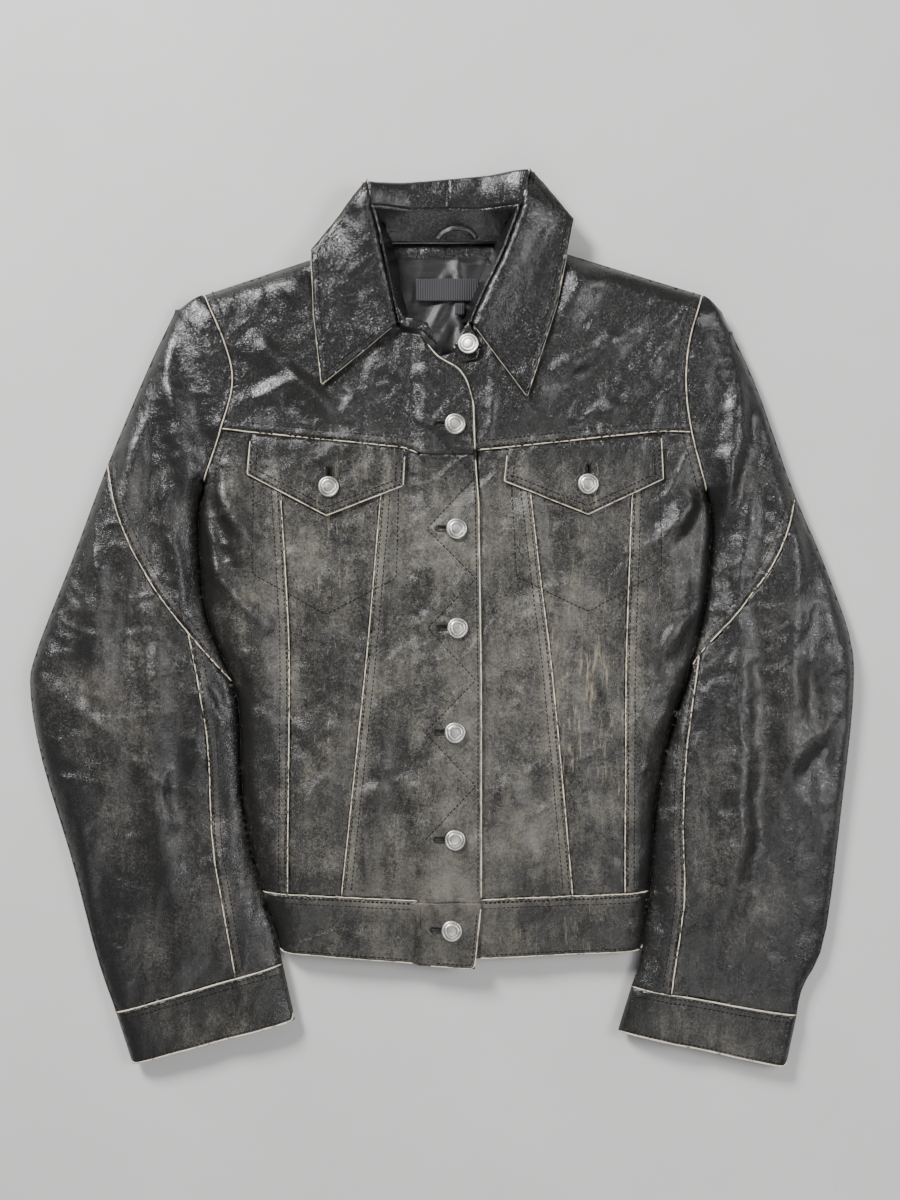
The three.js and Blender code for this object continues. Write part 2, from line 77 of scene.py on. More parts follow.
LEATHER = 1.4  # thickness of one layer
GRID = 2.5  # spacing of a panel's points
BACK_GRID = 6.0
STITCH = 2.9
STITCH_PITCH = 3.7
SEAM_ROWS = (2.4, 7.6)  # the two rows of topstitching beside a seam


# ---- Outlines from the frame -----------------------------------------------------------

@lru_cache(maxsize=None)
def corners(node):
    low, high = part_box(node)
    return np.array(low) / MM, np.array(high) / MM


def middle(node):
    low, high = corners(node)
    return (low + high) / 2


def flat_triangles(node, up, level=None):
    """The triangles of a node's highest (or lowest) level face, or the one nearest a level, in plan."""
    mesh = NODES[node].data
    co = np.empty(len(mesh.vertices) * 3)
    mesh.vertices.foreach_get("co", co)
    co = co.reshape(-1, 3) / MM
    mesh.calc_loop_triangles()
    index = np.empty(len(mesh.loop_triangles) * 3, int)
    mesh.loop_triangles.foreach_get("vertices", index)
    tris = co[index.reshape(-1, 3)]
    normal = np.cross(tris[:, 1] - tris[:, 0], tris[:, 2] - tris[:, 0])
    steep = normal[:, 2] / np.maximum(np.linalg.norm(normal, axis=1), 1e-9)
    height = tris[:, :, 2].mean(1)
    facing = steep > 0.9 if up else steep < -0.9
    if level is None:
        level = height[facing].max() if up else height[facing].min()
    level = height[facing][np.argmin(abs(height[facing] - level))]
    return tris[facing & (abs(height - level) < 0.2)][:, :, :2]


def chain(edges):
    """Directed edges joined into closed loops, longest first."""
    onward = dict(edges)
    found = []
    while onward:
        start, here = next(iter(onward.items()))
        loop = [start]
        while here != start and here in onward:
            loop.append(here)
            here = onward.pop(here)
        onward.pop(start, None)
        found.append(np.array(loop, float))
    return sorted(found, key=lambda loop: -abs(area(loop)))


def area(loop):
    x, y = loop[:, 0], loop[:, 1]
    return 0.5 * np.sum(x * np.roll(y, -1) - y * np.roll(x, -1))


@lru_cache(maxsize=None)
def loops(node, up=True, level=None):
    """A node's outline and holes in plan, anticlockwise outline first."""
    grain = 0.02
    keys = np.round(flat_triangles(node, up, level) / grain).astype(int)
    directed = set()
    for a, b, c in keys:
        a, b, c = tuple(a), tuple(b), tuple(c)
        directed.update([(a, b), (b, c), (c, a)])
    rim = [edge for edge in directed if edge[::-1] not in directed]
    found = [loop * grain for loop in chain(sorted(rim))]
    return [loop if area(loop) > 0 else loop[::-1] for loop in found]


def dense(line, step, closed=False):
    """The line with a point at least every step."""
    ends = np.roll(line, -1, 0) if closed else line[1:]
    starts = line if closed else line[:-1]
    out = []
    for a, b in zip(starts, ends):
        pieces = max(1, int(np.ceil(np.linalg.norm(b - a) / step)))
        out.extend(a + (b - a) * k / pieces for k in range(pieces))
    if not closed:
        out.append(line[-1])
    return np.array(out)


def nearest(points, line, closed=False):
    """Distance to a line, distance along it, and the side: positive to its left."""
    a = line if closed else line[:-1]
    b = np.roll(line, -1, 0) if closed else line[1:]
    run = b - a
    length = np.maximum(np.linalg.norm(run, axis=1), 1e-9)
    before = np.concatenate([[0], np.cumsum(length)[:-1]])
    best = np.full(len(points), np.inf)
    along = np.zeros(len(points))
    side = np.zeros(len(points))
    for k in range(len(a)):
        off = points - a[k]
        t = np.clip(off @ run[k] / length[k] ** 2, 0, 1)
        gap = np.linalg.norm(off - t[:, None] * run[k], axis=1)
        closer = gap < best - 1e-9
        best[closer] = gap[closer]
        along[closer] = before[k] + t[closer] * length[k]
        turn = run[k, 0] * off[:, 1] - run[k, 1] * off[:, 0]
        side[closer] = np.sign(turn[closer])
    return best, along, side


def inside(points, loop):
    x, y = points[:, 0], points[:, 1]
    odd = np.zeros(len(points), bool)
    x0, y0 = loop[:, 0], loop[:, 1]
    x1, y1 = np.roll(x0, -1), np.roll(y0, -1)
    for k in range(len(loop)):
        if y0[k] == y1[k]:
            continue
        crosses = (y0[k] > y) != (y1[k] > y)
        odd ^= crosses & (x < (x1[k] - x0[k]) * (y - y0[k]) / (y1[k] - y0[k]) + x0[k])
    return odd


def offset(line, distance, closed=False):
    """The line moved to its left."""
    if closed:
        along = np.roll(line, -1, 0) - np.roll(line, 1, 0)
    else:
        along = np.gradient(line, axis=0)
    along /= np.maximum(np.linalg.norm(along, axis=1), 1e-9)[:, None]
    return line + distance * np.stack([-along[:, 1], along[:, 0]], 1)


def grown(loop, distance):
    return offset(loop, -distance, closed=True)


def joined(outlines):
    """Outlines of neighbouring nodes, each pushed out where it meets another, so that they overlap."""
    reach, push = 1.0, 0.4
    out = []
    for i, loop in enumerate(outlines):
        others = [other for k, other in enumerate(outlines) if k != i]
        loop = dense(loop, 4, closed=True)
        close = np.zeros(len(loop), bool)
        for other in others:
            close |= nearest(loop, other, closed=True)[0] < reach
        out.append(np.where(close[:, None], grown(loop, push), loop))
    return out


def rim_of(faces):
    """Boundary loops of a triangle list, as vertex numbers."""
    directed = {(t[k], t[(k + 1) % 3]) for t in faces for k in range(3)}
    onward = dict(edge for edge in sorted(directed) if edge[::-1] not in directed)
    found = []
    while onward:
        start, here = next(iter(onward.items()))
        loop = [start]
        while here != start and here in onward:
            loop.append(here)
            here = onward.pop(here)
        onward.pop(start, None)
        found.append(loop)
    return found


def cover(outlines, holes=(), step=GRID):
    """Points and triangles that fill the outlines' union, less the holes."""
    rims = [dense(loop, step, closed=True) for loop in outlines]
    rims += [dense(loop, min(step, 1.2), closed=True) for loop in holes]
    low = np.min([rim.min(0) for rim in rims], axis=0)
    high = np.max([rim.max(0) for rim in rims], axis=0)
    rows = np.arange(low[1], high[1], step * math.sqrt(3) / 2)
    grid = []
    for i, y in enumerate(rows):
        xs = np.arange(low[0] + (i % 2) * step / 2, high[0], step)
        grid.append(np.stack([xs, np.full(len(xs), y)], 1))
    grid = np.concatenate(grid)
    within = np.zeros(len(grid), bool)
    for loop in outlines:
        within |= inside(grid, loop)
    for loop in holes:
        within &= ~inside(grid, loop)
    grid = grid[within]
    tree = KDTree(sum(len(rim) for rim in rims))
    for k, point in enumerate(np.concatenate(rims)):
        tree.insert((*point, 0), k)
    tree.balance()
    clear = np.array([tree.find((x, y, 0))[2] > step * 0.6 for x, y in grid], bool)
    grid = grid[clear]
    points, edges = list(grid), []
    for rim in rims:
        first = len(points)
        points.extend(rim)
        edges += [(first + k, first + (k + 1) % len(rim)) for k in range(len(rim))]
    co, _, tris, _, _, _ = delaunay_2d_cdt([Vector(p) for p in points], edges, [], 0, 1e-4)
    co = np.array([tuple(v) for v in co])
    tris = np.array([t for t in tris if len(t) == 3])
    centre = co[tris].mean(1)
    keep = np.zeros(len(tris), bool)
    for loop in outlines:
        keep |= inside(centre, loop)
    for loop in holes:
        keep &= ~inside(centre, loop)
    tris = tris[keep]
    used, renamed = np.unique(tris, return_inverse=True)
    co, tris = co[used], renamed.reshape(-1, 3)
    a, b, c = (co[tris[:, k]] for k in range(3))
    turn = (b - a)[:, 0] * (c - a)[:, 1] - (b - a)[:, 1] * (c - a)[:, 0]
    tris[turn < 0] = tris[turn < 0][:, ::-1]
    return co, tris[abs(turn) > 1e-6]


# ---- Meshes ----------------------------------------------------------------------------

def make(name, co, faces, material, smooth=None):
    mesh = bpy.data.meshes.new(name)
    mesh.from_pydata((np.asarray(co) * MM).tolist(), [], [list(map(int, f)) for f in faces])
    shade = np.ones(len(faces), bool) if smooth is None else smooth
    mesh.polygons.foreach_set("use_smooth", shade)
    mesh.materials.append(material)
    mesh.update()
    piece = bpy.data.objects.new(name, mesh)
    bpy.context.scene.collection.objects.link(piece)
    return piece


def paint(piece, name, values):
    """A number at each vertex, for the material to read."""
    layer = piece.data.attributes.new(name, "FLOAT", "POINT")
    layer.data.foreach_set("value", np.asarray(values, np.float32))


def vertex_normals(co, tris):
    face = np.cross(co[tris[:, 1]] - co[tris[:, 0]], co[tris[:, 2]] - co[tris[:, 0]])
    normal = np.zeros_like(co)
    for k in range(3):
        np.add.at(normal, tris[:, k], face)
    return normal / np.maximum(np.linalg.norm(normal, axis=1), 1e-9)[:, None]


def thick(name, co, tris, thickness, material, wear=None, tone_and_shade=None, sewn=None):
    """A closed sheet: co and tris are its outer face."""
    normal = vertex_normals(co, tris)
    inner = co - normal * thickness
    n = len(co)
    walls = []
    for rim in rim_of([tuple(t) for t in tris]):
        for k, a in enumerate(rim):
            b = rim[(k + 1) % len(rim)]
            walls.append((b, a, a + n, b + n))
    faces = [tuple(t) for t in tris] + [tuple(t[::-1] + n) for t in tris] + walls
    smooth = np.array([len(f) == 3 for f in faces])
    piece = make(name, np.concatenate([co, inner]), faces, material, smooth)
    # The tone layer holds a painted shade at the top as well as the leather's tone.
    for layer, values in (("wear", wear), ("tone_and_shade", tone_and_shade), ("sewn", sewn)):
        values = np.zeros(n) if values is None else values
        paint(piece, layer, np.concatenate([values, values]))
    return piece


# ---- Noise -----------------------------------------------------------------------------

LATTICE = np.random.default_rng(11).random((256, 256))


def value_noise(x, y):
    xi, yi = np.floor(x).astype(int), np.floor(y).astype(int)
    u, v = x - xi, y - yi
    u, v = (w * w * w * (w * (w * 6 - 15) + 10) for w in (u, v))
    a, b = LATTICE[xi % 256, yi % 256], LATTICE[(xi + 1) % 256, yi % 256]
    c, d = LATTICE[xi % 256, (yi + 1) % 256], LATTICE[(xi + 1) % 256, (yi + 1) % 256]
    return (a * (1 - u) + b * u) * (1 - v) + (c * (1 - u) + d * u) * v


def fractal(points, size, octaves=3, seed=0, angle=0.0, stretch=1.0):
    """Soft noise from 0 to 1. Its features are size across and stretch times as long along angle."""
    c, s = math.cos(math.radians(angle)), math.sin(math.radians(angle))
    along = (points[:, 0] * c + points[:, 1] * s) / (size * stretch) + 17.3 * seed
    across = (-points[:, 0] * s + points[:, 1] * c) / size + 9.1 * seed + 40
    total, weight = 0.0, 0.0
    for k in range(octaves):
        gain = 0.5 ** k
        total = total + gain * value_noise(along * 2 ** k + 5 * k, across * 2 ** k + 3 * k)
        weight += gain
    return total / weight


def ridges(points, size, seed, angle=0.0, stretch=1.0, sharp=3.0):
    """Thin winding ridges, 0 to 1."""
    bend = 0.8 * size * (fractal(points, size * 2.2, 2, seed + 3) - 0.5)
    moved = points + np.stack([bend, -bend], 1)
    wave = fractal(moved, size, 2, seed, angle, stretch)
    return np.clip(1 - abs(2 * wave - 1) * 2.2, 0, 1) ** sharp


def smoothstep(low, high, x):
    t = np.clip((x - low) / (high - low), 0, 1)
    return t * t * (3 - 2 * t)


# ---- Lines from the frame --------------------------------------------------------------

def segments(loop):
    return np.stack([loop, np.roll(loop, -1, 0)], 1)


def strips(*nodes):
    """The top edges of the nodes' walls."""
    return np.concatenate([segments(loop) for node in nodes for loop in loops(node)])


def distance(points, rim):
    best = np.full(len(points), np.inf)
    for a, b in rim:
        run = b - a
        t = np.clip(((points - a) @ run) / max(run @ run, 1e-9), 0, 1)
        off = points - a - t[:, None] * run
        best = np.minimum(best, np.einsum("ij,ij->i", off, off))
    return np.sqrt(best)


def touching(node, others, near, up=True):
    """The node's outline, closely spaced, and where it runs beside another node."""
    line = dense(loops(node, up)[0], 3, closed=True)
    close = np.zeros(len(line), bool)
    for other in others:
        close |= nearest(line, loops(other, up)[0], closed=True)[0] < near
    return line, close


def runs(line, chosen):
    """Unbroken stretches of the closed line where chosen holds, longest first."""
    if chosen.all():
        return [line]
    start = int(np.argmin(chosen))
    line, chosen = np.roll(line, -start, 0), np.roll(chosen, -start)
    found, here = [], []
    for point, keep in zip(line, chosen):
        if keep:
            here.append(point)
        elif here:
            found.append(np.array(here))
            here = []
    if here:
        found.append(np.array(here))
    return sorted(found, key=len, reverse=True)


def shared(node, *others, near=1.0, up=True):
    """Where the node's outline meets the others. The node lies to the left of the line."""
    return runs(*touching(node, others, near, up))[0]


def free(node, *others, near=1.0, up=True):
    """The longest stretch of the node's outline that meets none of the others."""
    line, close = touching(node, others, near, up)
    return runs(line, ~close)[0]


def eased(line, passes=2):
    """The line with its small steps smoothed out."""
    for _ in range(passes):
        line = np.concatenate([line[:1], (line[:-2] + 2 * line[1:-1] + line[2:]) / 4, line[-1:]])
    return line


# ---- Shape of the front, the back and the sleeves --------------------------------------

FRONT = corners("side_panel_right")[1][2]
LAP = corners("placket_right")[1][2] - FRONT  # the right front edge over the left one
FULL = FRONT - 0.6
SIDE_FOLD = 8.5  # height where the front leather turns under
TORSO_RIM = strips("back_yoke", "back_side_panel_right", "back_side_panel_left", "waistband_back")
EDGE_FOLD = corners("placket_right")[0][0]


def sleeve_lines(side):
    cap, upper, cuff = f"sleeve_cap_{side}", f"sleeve_upper_{side}", f"cuff_{side}"
    yoke, panel = f"yoke_{side}", f"side_panel_{side}"
    rim = strips(f"under_sleeve_{side}")
    crown = free(cap, yoke, panel, upper)
    ends = segments(loops(cuff)[0])
    run = ends[:, 1] - ends[:, 0]
    along = abs(run[:, 1]) > abs(run[:, 0])
    rim = np.concatenate([rim, np.stack([crown[:-1], crown[1:]], 1), ends[along]])
    return rim, shared(cap, yoke, panel)


SLEEVE = {side: sleeve_lines(side) for side in SIDES}


def roundness(d, radius):
    t = np.clip(d / radius, 0, 1)
    return np.sqrt(1 - (1 - t) ** 2)


def torso_top(p):
    full = FULL + 2.4 * (fractal(p, 150, 2, 3) - 0.5)
    full = full - 4 * smoothstep(-190, -290, p[:, 1])
    return SIDE_FOLD + (full - SIDE_FOLD) * roundness(distance(p, TORSO_RIM), 20)


def torso_bottom(p):
    return SIDE_FOLD * (1 - roundness(distance(p, TORSO_RIM), 14))


def sleeve_top(p, side):
    rim, armhole = SLEEVE[side]
    low, high = corners(f"under_sleeve_{side}")
    down = (high[1] - p[:, 1]) / (high[1] - low[1])
    full = FULL - 0.4 - 5 * smoothstep(0.45, 1.05, down) + 2 * (fractal(p, 110, 2, 8) - 0.5)
    own = SIDE_FOLD + (full - SIDE_FOLD) * roundness(distance(p, rim), 28)
    share = smoothstep(0, 30, nearest(p, armhole)[0])
    return torso_top(p) * (1 - share) + own * share


def sleeve_bottom(p, side):
    rim, armhole = SLEEVE[side]
    own = SIDE_FOLD * (1 - roundness(distance(p, rim), 16))
    share = smoothstep(0, 30, nearest(p, armhole)[0])
    return torso_bottom(p) * (1 - share) + own * share


# Soft folds: node, start and end as shares of its box, half width and height in mm.
FOLDS = [
    ("yoke_right", (0.20, 0.55), (0.62, 0.16), 9, 1.6),
    ("yoke_right", (0.10, 0.20), (0.52, 0.36), 7, 1.1),
    ("yoke_left", (0.80, 0.62), (0.40, 0.30), 9, 1.5),
    ("yoke_left", (0.92, 0.22), (0.52, 0.20), 7, 1.0),
    ("side_panel_right", (0.34, 0.98), (0.70, 0.30), 15, 2.6),
    ("side_panel_right", (0.72, 0.80), (0.86, 0.10), 10, 1.6),
    ("side_panel_left", (0.62, 0.98), (0.36, 0.30), 15, 2.6),
    ("side_panel_left", (0.22, 0.80), (0.16, 0.10), 10, 1.5),
    ("yoke_right", (0.35, 0.90), (0.55, 0.55), 12, 1.5),
    ("yoke_left", (0.66, 0.92), (0.46, 0.60), 12, 1.5),
    ("centre_panel_left", (0.50, 0.95), (0.66, 0.70), 9, 1.4),
    ("side_panel_right", (0.08, 0.92), (0.75, 0.70), 8, 1.8),
    ("side_panel_right", (0.15, 0.72), (0.80, 0.56), 7, 1.3),
    ("side_panel_right", (0.45, 0.45), (0.70, 0.12), 9, 1.6),
    ("side_panel_left", (0.92, 0.90), (0.35, 0.74), 8, 1.7),
    ("side_panel_left", (0.85, 0.62), (0.30, 0.50), 7, 1.3),
    ("side_panel_left", (0.60, 0.40), (0.35, 0.10), 9, 1.6),
    ("centre_panel_right", (0.30, 0.90), (0.75, 0.66), 7, 1.1),
    ("centre_panel_right", (0.55, 0.40), (0.40, 0.08), 8, 1.1),
    ("centre_panel_left", (0.70, 0.55), (0.30, 0.35), 8, 1.0),
    ("centre_panel_left", (0.25, 0.30), (0.60, 0.06), 8, 1.2),
    ("middle_panel_right", (0.60, 0.55), (0.45, 0.10), 9, 0.9),
    ("middle_panel_left", (0.40, 0.55), (0.55, 0.12), 9, 0.9),
    ("sleeve_upper_right", (0.45, 0.95), (0.72, 0.36), 11, 2.4),
    ("sleeve_upper_right", (0.62, 0.70), (0.95, 0.22), 8, 2.2),
    ("sleeve_upper_right", (0.42, 0.62), (0.70, 0.12), 8, 1.6),
    ("sleeve_upper_left", (0.50, 0.95), (0.28, 0.36), 11, 2.4),
    ("sleeve_upper_left", (0.36, 0.66), (0.08, 0.20), 8, 2.2),
    ("sleeve_upper_left", (0.60, 0.58), (0.34, 0.10), 8, 1.6),
    ("sleeve_upper_right", (0.20, 0.72), (0.10, 0.20), 16, 2.4),
    ("sleeve_upper_left", (0.82, 0.72), (0.92, 0.20), 16, 2.4),
    ("sleeve_forearm_right", (0.55, 0.55), (0.80, 0.08), 12, 2.0),
    ("sleeve_forearm_left", (0.45, 0.55), (0.24, 0.08), 12, 2.0),
    ("sleeve_forearm_right", (0.30, 0.98), (0.40, 0.35), 13, 2.2),
    ("sleeve_forearm_right", (0.60, 0.85), (0.66, 0.20), 11, 2.0),
    ("sleeve_forearm_right", (0.10, 0.62), (0.42, 0.48), 9, 1.4),
    ("sleeve_forearm_left", (0.70, 0.98), (0.60, 0.35), 13, 2.2),
    ("sleeve_forearm_left", (0.38, 0.80), (0.34, 0.20), 11, 2.0),
    ("sleeve_forearm_left", (0.92, 0.60), (0.55, 0.46), 9, 1.4),
    ("sleeve_inner_right", (0.15, 0.98), (0.60, 0.76), 7, 1.7),
    ("sleeve_inner_right", (0.10, 0.86), (0.50, 0.66), 6, 1.4),
    ("sleeve_inner_left", (0.85, 0.98), (0.40, 0.76), 7, 1.7),
    ("sleeve_inner_left", (0.90, 0.86), (0.45, 0.66), 6, 1.4),
]


def fold_strokes(p):
    total = np.zeros(len(p))
    for node, start, end, width, height in FOLDS:
        low, high = corners(node)
        a = low[:2] + (high - low)[:2] * start
        b = low[:2] + (high - low)[:2] * end
        reach = 3.5 * width
        near = (p > np.minimum(a, b) - reach).all(1) & (p < np.maximum(a, b) + reach).all(1)
        if not near.any():
            continue
        q = p[near]
        run = b - a
        t = ((q - a) @ run) / (run @ run)
        off = (run[0] * (q - a)[:, 1] - run[1] * (q - a)[:, 0]) / np.linalg.norm(run)
        off = off + 7 * (fractal(q, 30, 2, 21) - 0.5)
        taper = np.clip(1 - (2 * t - 1) ** 2, 0, 1) ** 0.7
        wave = np.exp(-((off / width) ** 2)) - 0.5 * np.exp(-(((off - 1.6 * width) / width) ** 2))
        total[near] += height * taper * wave
    return total


def creased(p, rim):
    """Leather's own wrinkles, fading towards the folded edges."""
    broad = 4.2 * (fractal(p, 42, 3, 5) - 0.5)
    thin = 1.3 * ridges(p, 34, 7, 60, 1.8) + 1.0 * ridges(p, 17, 12, 35, 1.6) * fractal(p, 60, 2, 14)
    fine = 0.9 * (fractal(p, 9, 2, 31) - 0.5)
    return (broad + thin + fine + 2.3 * fold_strokes(p)) * smoothstep(0, 16, distance(p, rim))


def sleeve_folds(p, side):
    rim, _ = SLEEVE[side]
    slope = 90 + SIDES[side] * 8
    soft = 8.0 * (fractal(p, 28, 2, 41, slope, 4) - 0.5)
    cross = 0.9 * ridges(p, 26, 44, 20 * SIDES[side], 2.0) * (1 - smoothstep(-150, -230, p[:, 1]))
    fine = 0.7 * (fractal(p, 9, 2, 31) - 0.5) + 0.9 * ridges(p, 19, 47, slope, 3)
    return (soft + cross + fine + 2.2 * fold_strokes(p)) * smoothstep(0, 18, distance(p, rim))


# ---- Seams -----------------------------------------------------------------------------
# Each is a line with the stitched, raised panel to its left.

def yoke_line(side):
    """The yoke's lower edge, across the pocket mouth as well."""
    parts = [shared(f"yoke_{side}", f"{node}_{side}") for node in ("side_panel", "centre_panel")]
    return dense(np.concatenate(sorted(parts, key=lambda line: line[:, 0].min())), 4)


def front_seams():
    found = []
    for side in SIDES:
        yoke, outer = f"yoke_{side}", f"side_panel_{side}"
        pocket, centre, waist = f"middle_panel_{side}", f"centre_panel_{side}", f"waistband_{side}"
        found.append(yoke_line(side))
        found.append(shared(outer, pocket))
        found.append(shared(centre, pocket))
        found.append(shared(waist, outer, pocket, centre))
    return [eased(line) for line in found]


def sleeve_seams(side):
    upper, forearm, inner = (f"sleeve_{part}_{side}" for part in ("upper", "forearm", "inner"))
    elbow = shared(upper, forearm, inner)
    return [eased(line) for line in (elbow, shared(inner, forearm))]


FRONT_SEAMS = front_seams()
SLEEVE_SEAMS = {side: sleeve_seams(side) for side in SIDES}
ARMHOLES = {side: eased(SLEEVE[side][1]) for side in SIDES}
FRONT_BUTTONS = [f"front_button_{k}" for k in range(2, 8)]


def relief(p, seams):
    """Layers and puckers beside seams: the left side stands proud and is sewn down in two rows."""
    total = np.zeros(len(p))
    for line in seams:
        near = (p > line.min(0) - 16).all(1) & (p < line.max(0) + 16).all(1)
        if not near.any():
            continue
        d, along, side = nearest(p[near], line)
        raised = np.where(side > 0, 1.0, 0.0)
        step = 0.9 * np.exp(-d / 11) * raised - 0.35 * np.exp(-d / 5) * (1 - raised)
        rows = sum(np.exp(-(((d - row) / 1.3) ** 2)) for row in SEAM_ROWS)
        bits = np.stack([along, d], 1)
        pucker = 0.9 * (fractal(bits, 6, 2, 51) - 0.5) * np.exp(-(((d - 5) / 6) ** 2))
        total[near] += step - 0.4 * rows * raised + pucker
    return total


def all_seams():
    lines = FRONT_SEAMS + [line[::-1] for line in ARMHOLES.values()]
    return lines + [line for side in SIDES for line in SLEEVE_SEAMS[side]]


def sewn_band(p):
    """1 between the stitch rows beside a seam, fading away from them."""
    band = np.zeros(len(p))
    for line in all_seams():
        near = (p > line.min(0) - 16).all(1) & (p < line.max(0) + 16).all(1)
        if near.any():
            d, _, side = nearest(p[near], line)
            here = np.exp(-(((d - 4.5) / 4.5) ** 2)) * (side > 0)
            band[near] = np.maximum(band[near], here)
    return band


def pocket_relief(p):
    total = np.zeros(len(p))
    for side in SIDES:
        rim = loops(f"pocket_bag_{side}")[0]
        d = nearest(p, rim, closed=True)[0] * np.where(inside(p, rim), 1, -1)
        total += 0.7 * smoothstep(-1.5, 2.5, d) - 0.4 * np.exp(-(((d - 1.5) / 1.6) ** 2))
    return total


def front(p):
    """The front leather's outer face."""
    seams = FRONT_SEAMS + [line[::-1] for line in ARMHOLES.values()]
    return torso_top(p) + creased(p, TORSO_RIM) + relief(p, seams) + pocket_relief(p)


def zigzags():
    """Rows of stitching that point at each front button from the button side."""
    levels = [middle(name)[:2] for name in FRONT_BUTTONS[:-1]]
    tip = corners("placket_right")[1][0] - 4.5
    lines = []
    for (x0, y0), (x1, y1) in zip(levels[:-1], levels[1:]):
        lines.append(dense(np.array([(x0 - 25, y0), (tip, (y0 + y1) / 2), (x1 - 25, y1)]), 3))
    return lines


def lapped(p):
    """The right front, which climbs over the left one at its edge."""
    groove = np.zeros(len(p))
    for line in ZIGZAGS:
        d = distance(p, np.stack([line[:-1], line[1:]], 1))
        groove = np.maximum(groove, np.exp(-((d / 2.2) ** 2)))
    quilted = 0.7 * (fractal(p, 7, 2, 57) - 0.5) * smoothstep(EDGE_FOLD - 12, EDGE_FOLD, p[:, 0])
    return front(p) + LAP * smoothstep(EDGE_FOLD - 8, EDGE_FOLD + 6, p[:, 0]) - 0.6 * groove + quilted


def sleeve(p, side):
    share = smoothstep(0, 30, nearest(p, ARMHOLES[side])[0])
    folds = creased(p, TORSO_RIM) * (1 - share) + sleeve_folds(p, side) * share
    return sleeve_top(p, side) + folds + relief(p, SLEEVE_SEAMS[side])


ZIGZAGS = zigzags()

# ---- Materials -------------------------------------------------------------------------

class Nodes:
    """A material's node tree, with short calls."""

    def __init__(self, name, roughness, metallic=0.0):
        self.material = bpy.data.materials.new(name)
        self.material.use_nodes = True
        self.tree = self.material.node_tree
        self.shader = self.tree.nodes["Principled BSDF"]
        self.shader.inputs["Roughness"].default_value = roughness
        self.shader.inputs["Metallic"].default_value = metallic
        self.coords = self.tree.nodes.new("ShaderNodeTexCoord").outputs["Object"]

    def add(self, kind, settings=None, **inputs):
        node = self.tree.nodes.new(kind)
        for key, value in (settings or {}).items():
            setattr(node, key, value)
        for key, value in inputs.items():
            self.put(node.inputs[key.replace("_", " ")], value)
        return node

    def put(self, socket, value):
        if isinstance(value, bpy.types.NodeSocket):
            self.tree.links.new(value, socket)
        else:
            socket.default_value = value

    def stretched(self, scale, angle=0.0):
        mapping = self.add("ShaderNodeMapping", Vector=self.coords)
        mapping.inputs["Scale"].default_value = scale
        mapping.inputs["Rotation"].default_value = (0, 0, math.radians(angle))
        return mapping.outputs[0]

    def noise(self, scale, detail=4.0, roughness=0.55, vector=None):
        where = self.coords if vector is None else vector
        node = self.add("ShaderNodeTexNoise", Vector=where, Scale=scale, Detail=detail,
                        Roughness=roughness)
        return node.outputs["Fac"]

    def cells(self, scale, feature="DISTANCE_TO_EDGE", vector=None):
        where = self.coords if vector is None else vector
        node = self.add("ShaderNodeTexVoronoi", {"feature": feature}, Vector=where, Scale=scale)
        return node.outputs["Distance"]

    def attribute(self, name):
        return self.add("ShaderNodeAttribute", {"attribute_name": name}).outputs["Fac"]

    def math(self, operation, a, b=0.0, clamp=False):
        node = self.add("ShaderNodeMath", {"operation": operation, "use_clamp": clamp})
        self.put(node.inputs[0], a)
        self.put(node.inputs[1], b)
        return node.outputs[0]

    def between(self, value, low, high, to_low=0.0, to_high=1.0):
        node = self.add("ShaderNodeMapRange", {"interpolation_type": "SMOOTHSTEP"}, Value=value)
        for socket, number in zip(("From Min", "From Max", "To Min", "To Max"),
                                  (low, high, to_low, to_high)):
            node.inputs[socket].default_value = number
        return node.outputs[0]

    def mix(self, share, a, b, blend="MIX"):
        node = self.add("ShaderNodeMix", {"data_type": "RGBA", "blend_type": blend})
        for socket, value in ((0, share), (6, a), (7, b)):
            self.put(node.inputs[socket], value)
        return node.outputs[2]

    def bump(self, height, depth, strength=1.0, under=None):
        """depth is the relief in metres where height runs from 0 to 1."""
        node = self.add("ShaderNodeBump", Height=height, Strength=strength, Distance=depth)
        if under is not None:
            self.put(node.inputs["Normal"], under)
        return node.outputs[0]

    def finish(self, colour, roughness=None, normal=None):
        self.put(self.shader.inputs["Base Color"], colour)
        if roughness is not None:
            self.put(self.shader.inputs["Roughness"], roughness)
        if normal is not None:
            self.put(self.shader.inputs["Normal"], normal)
        return self.material


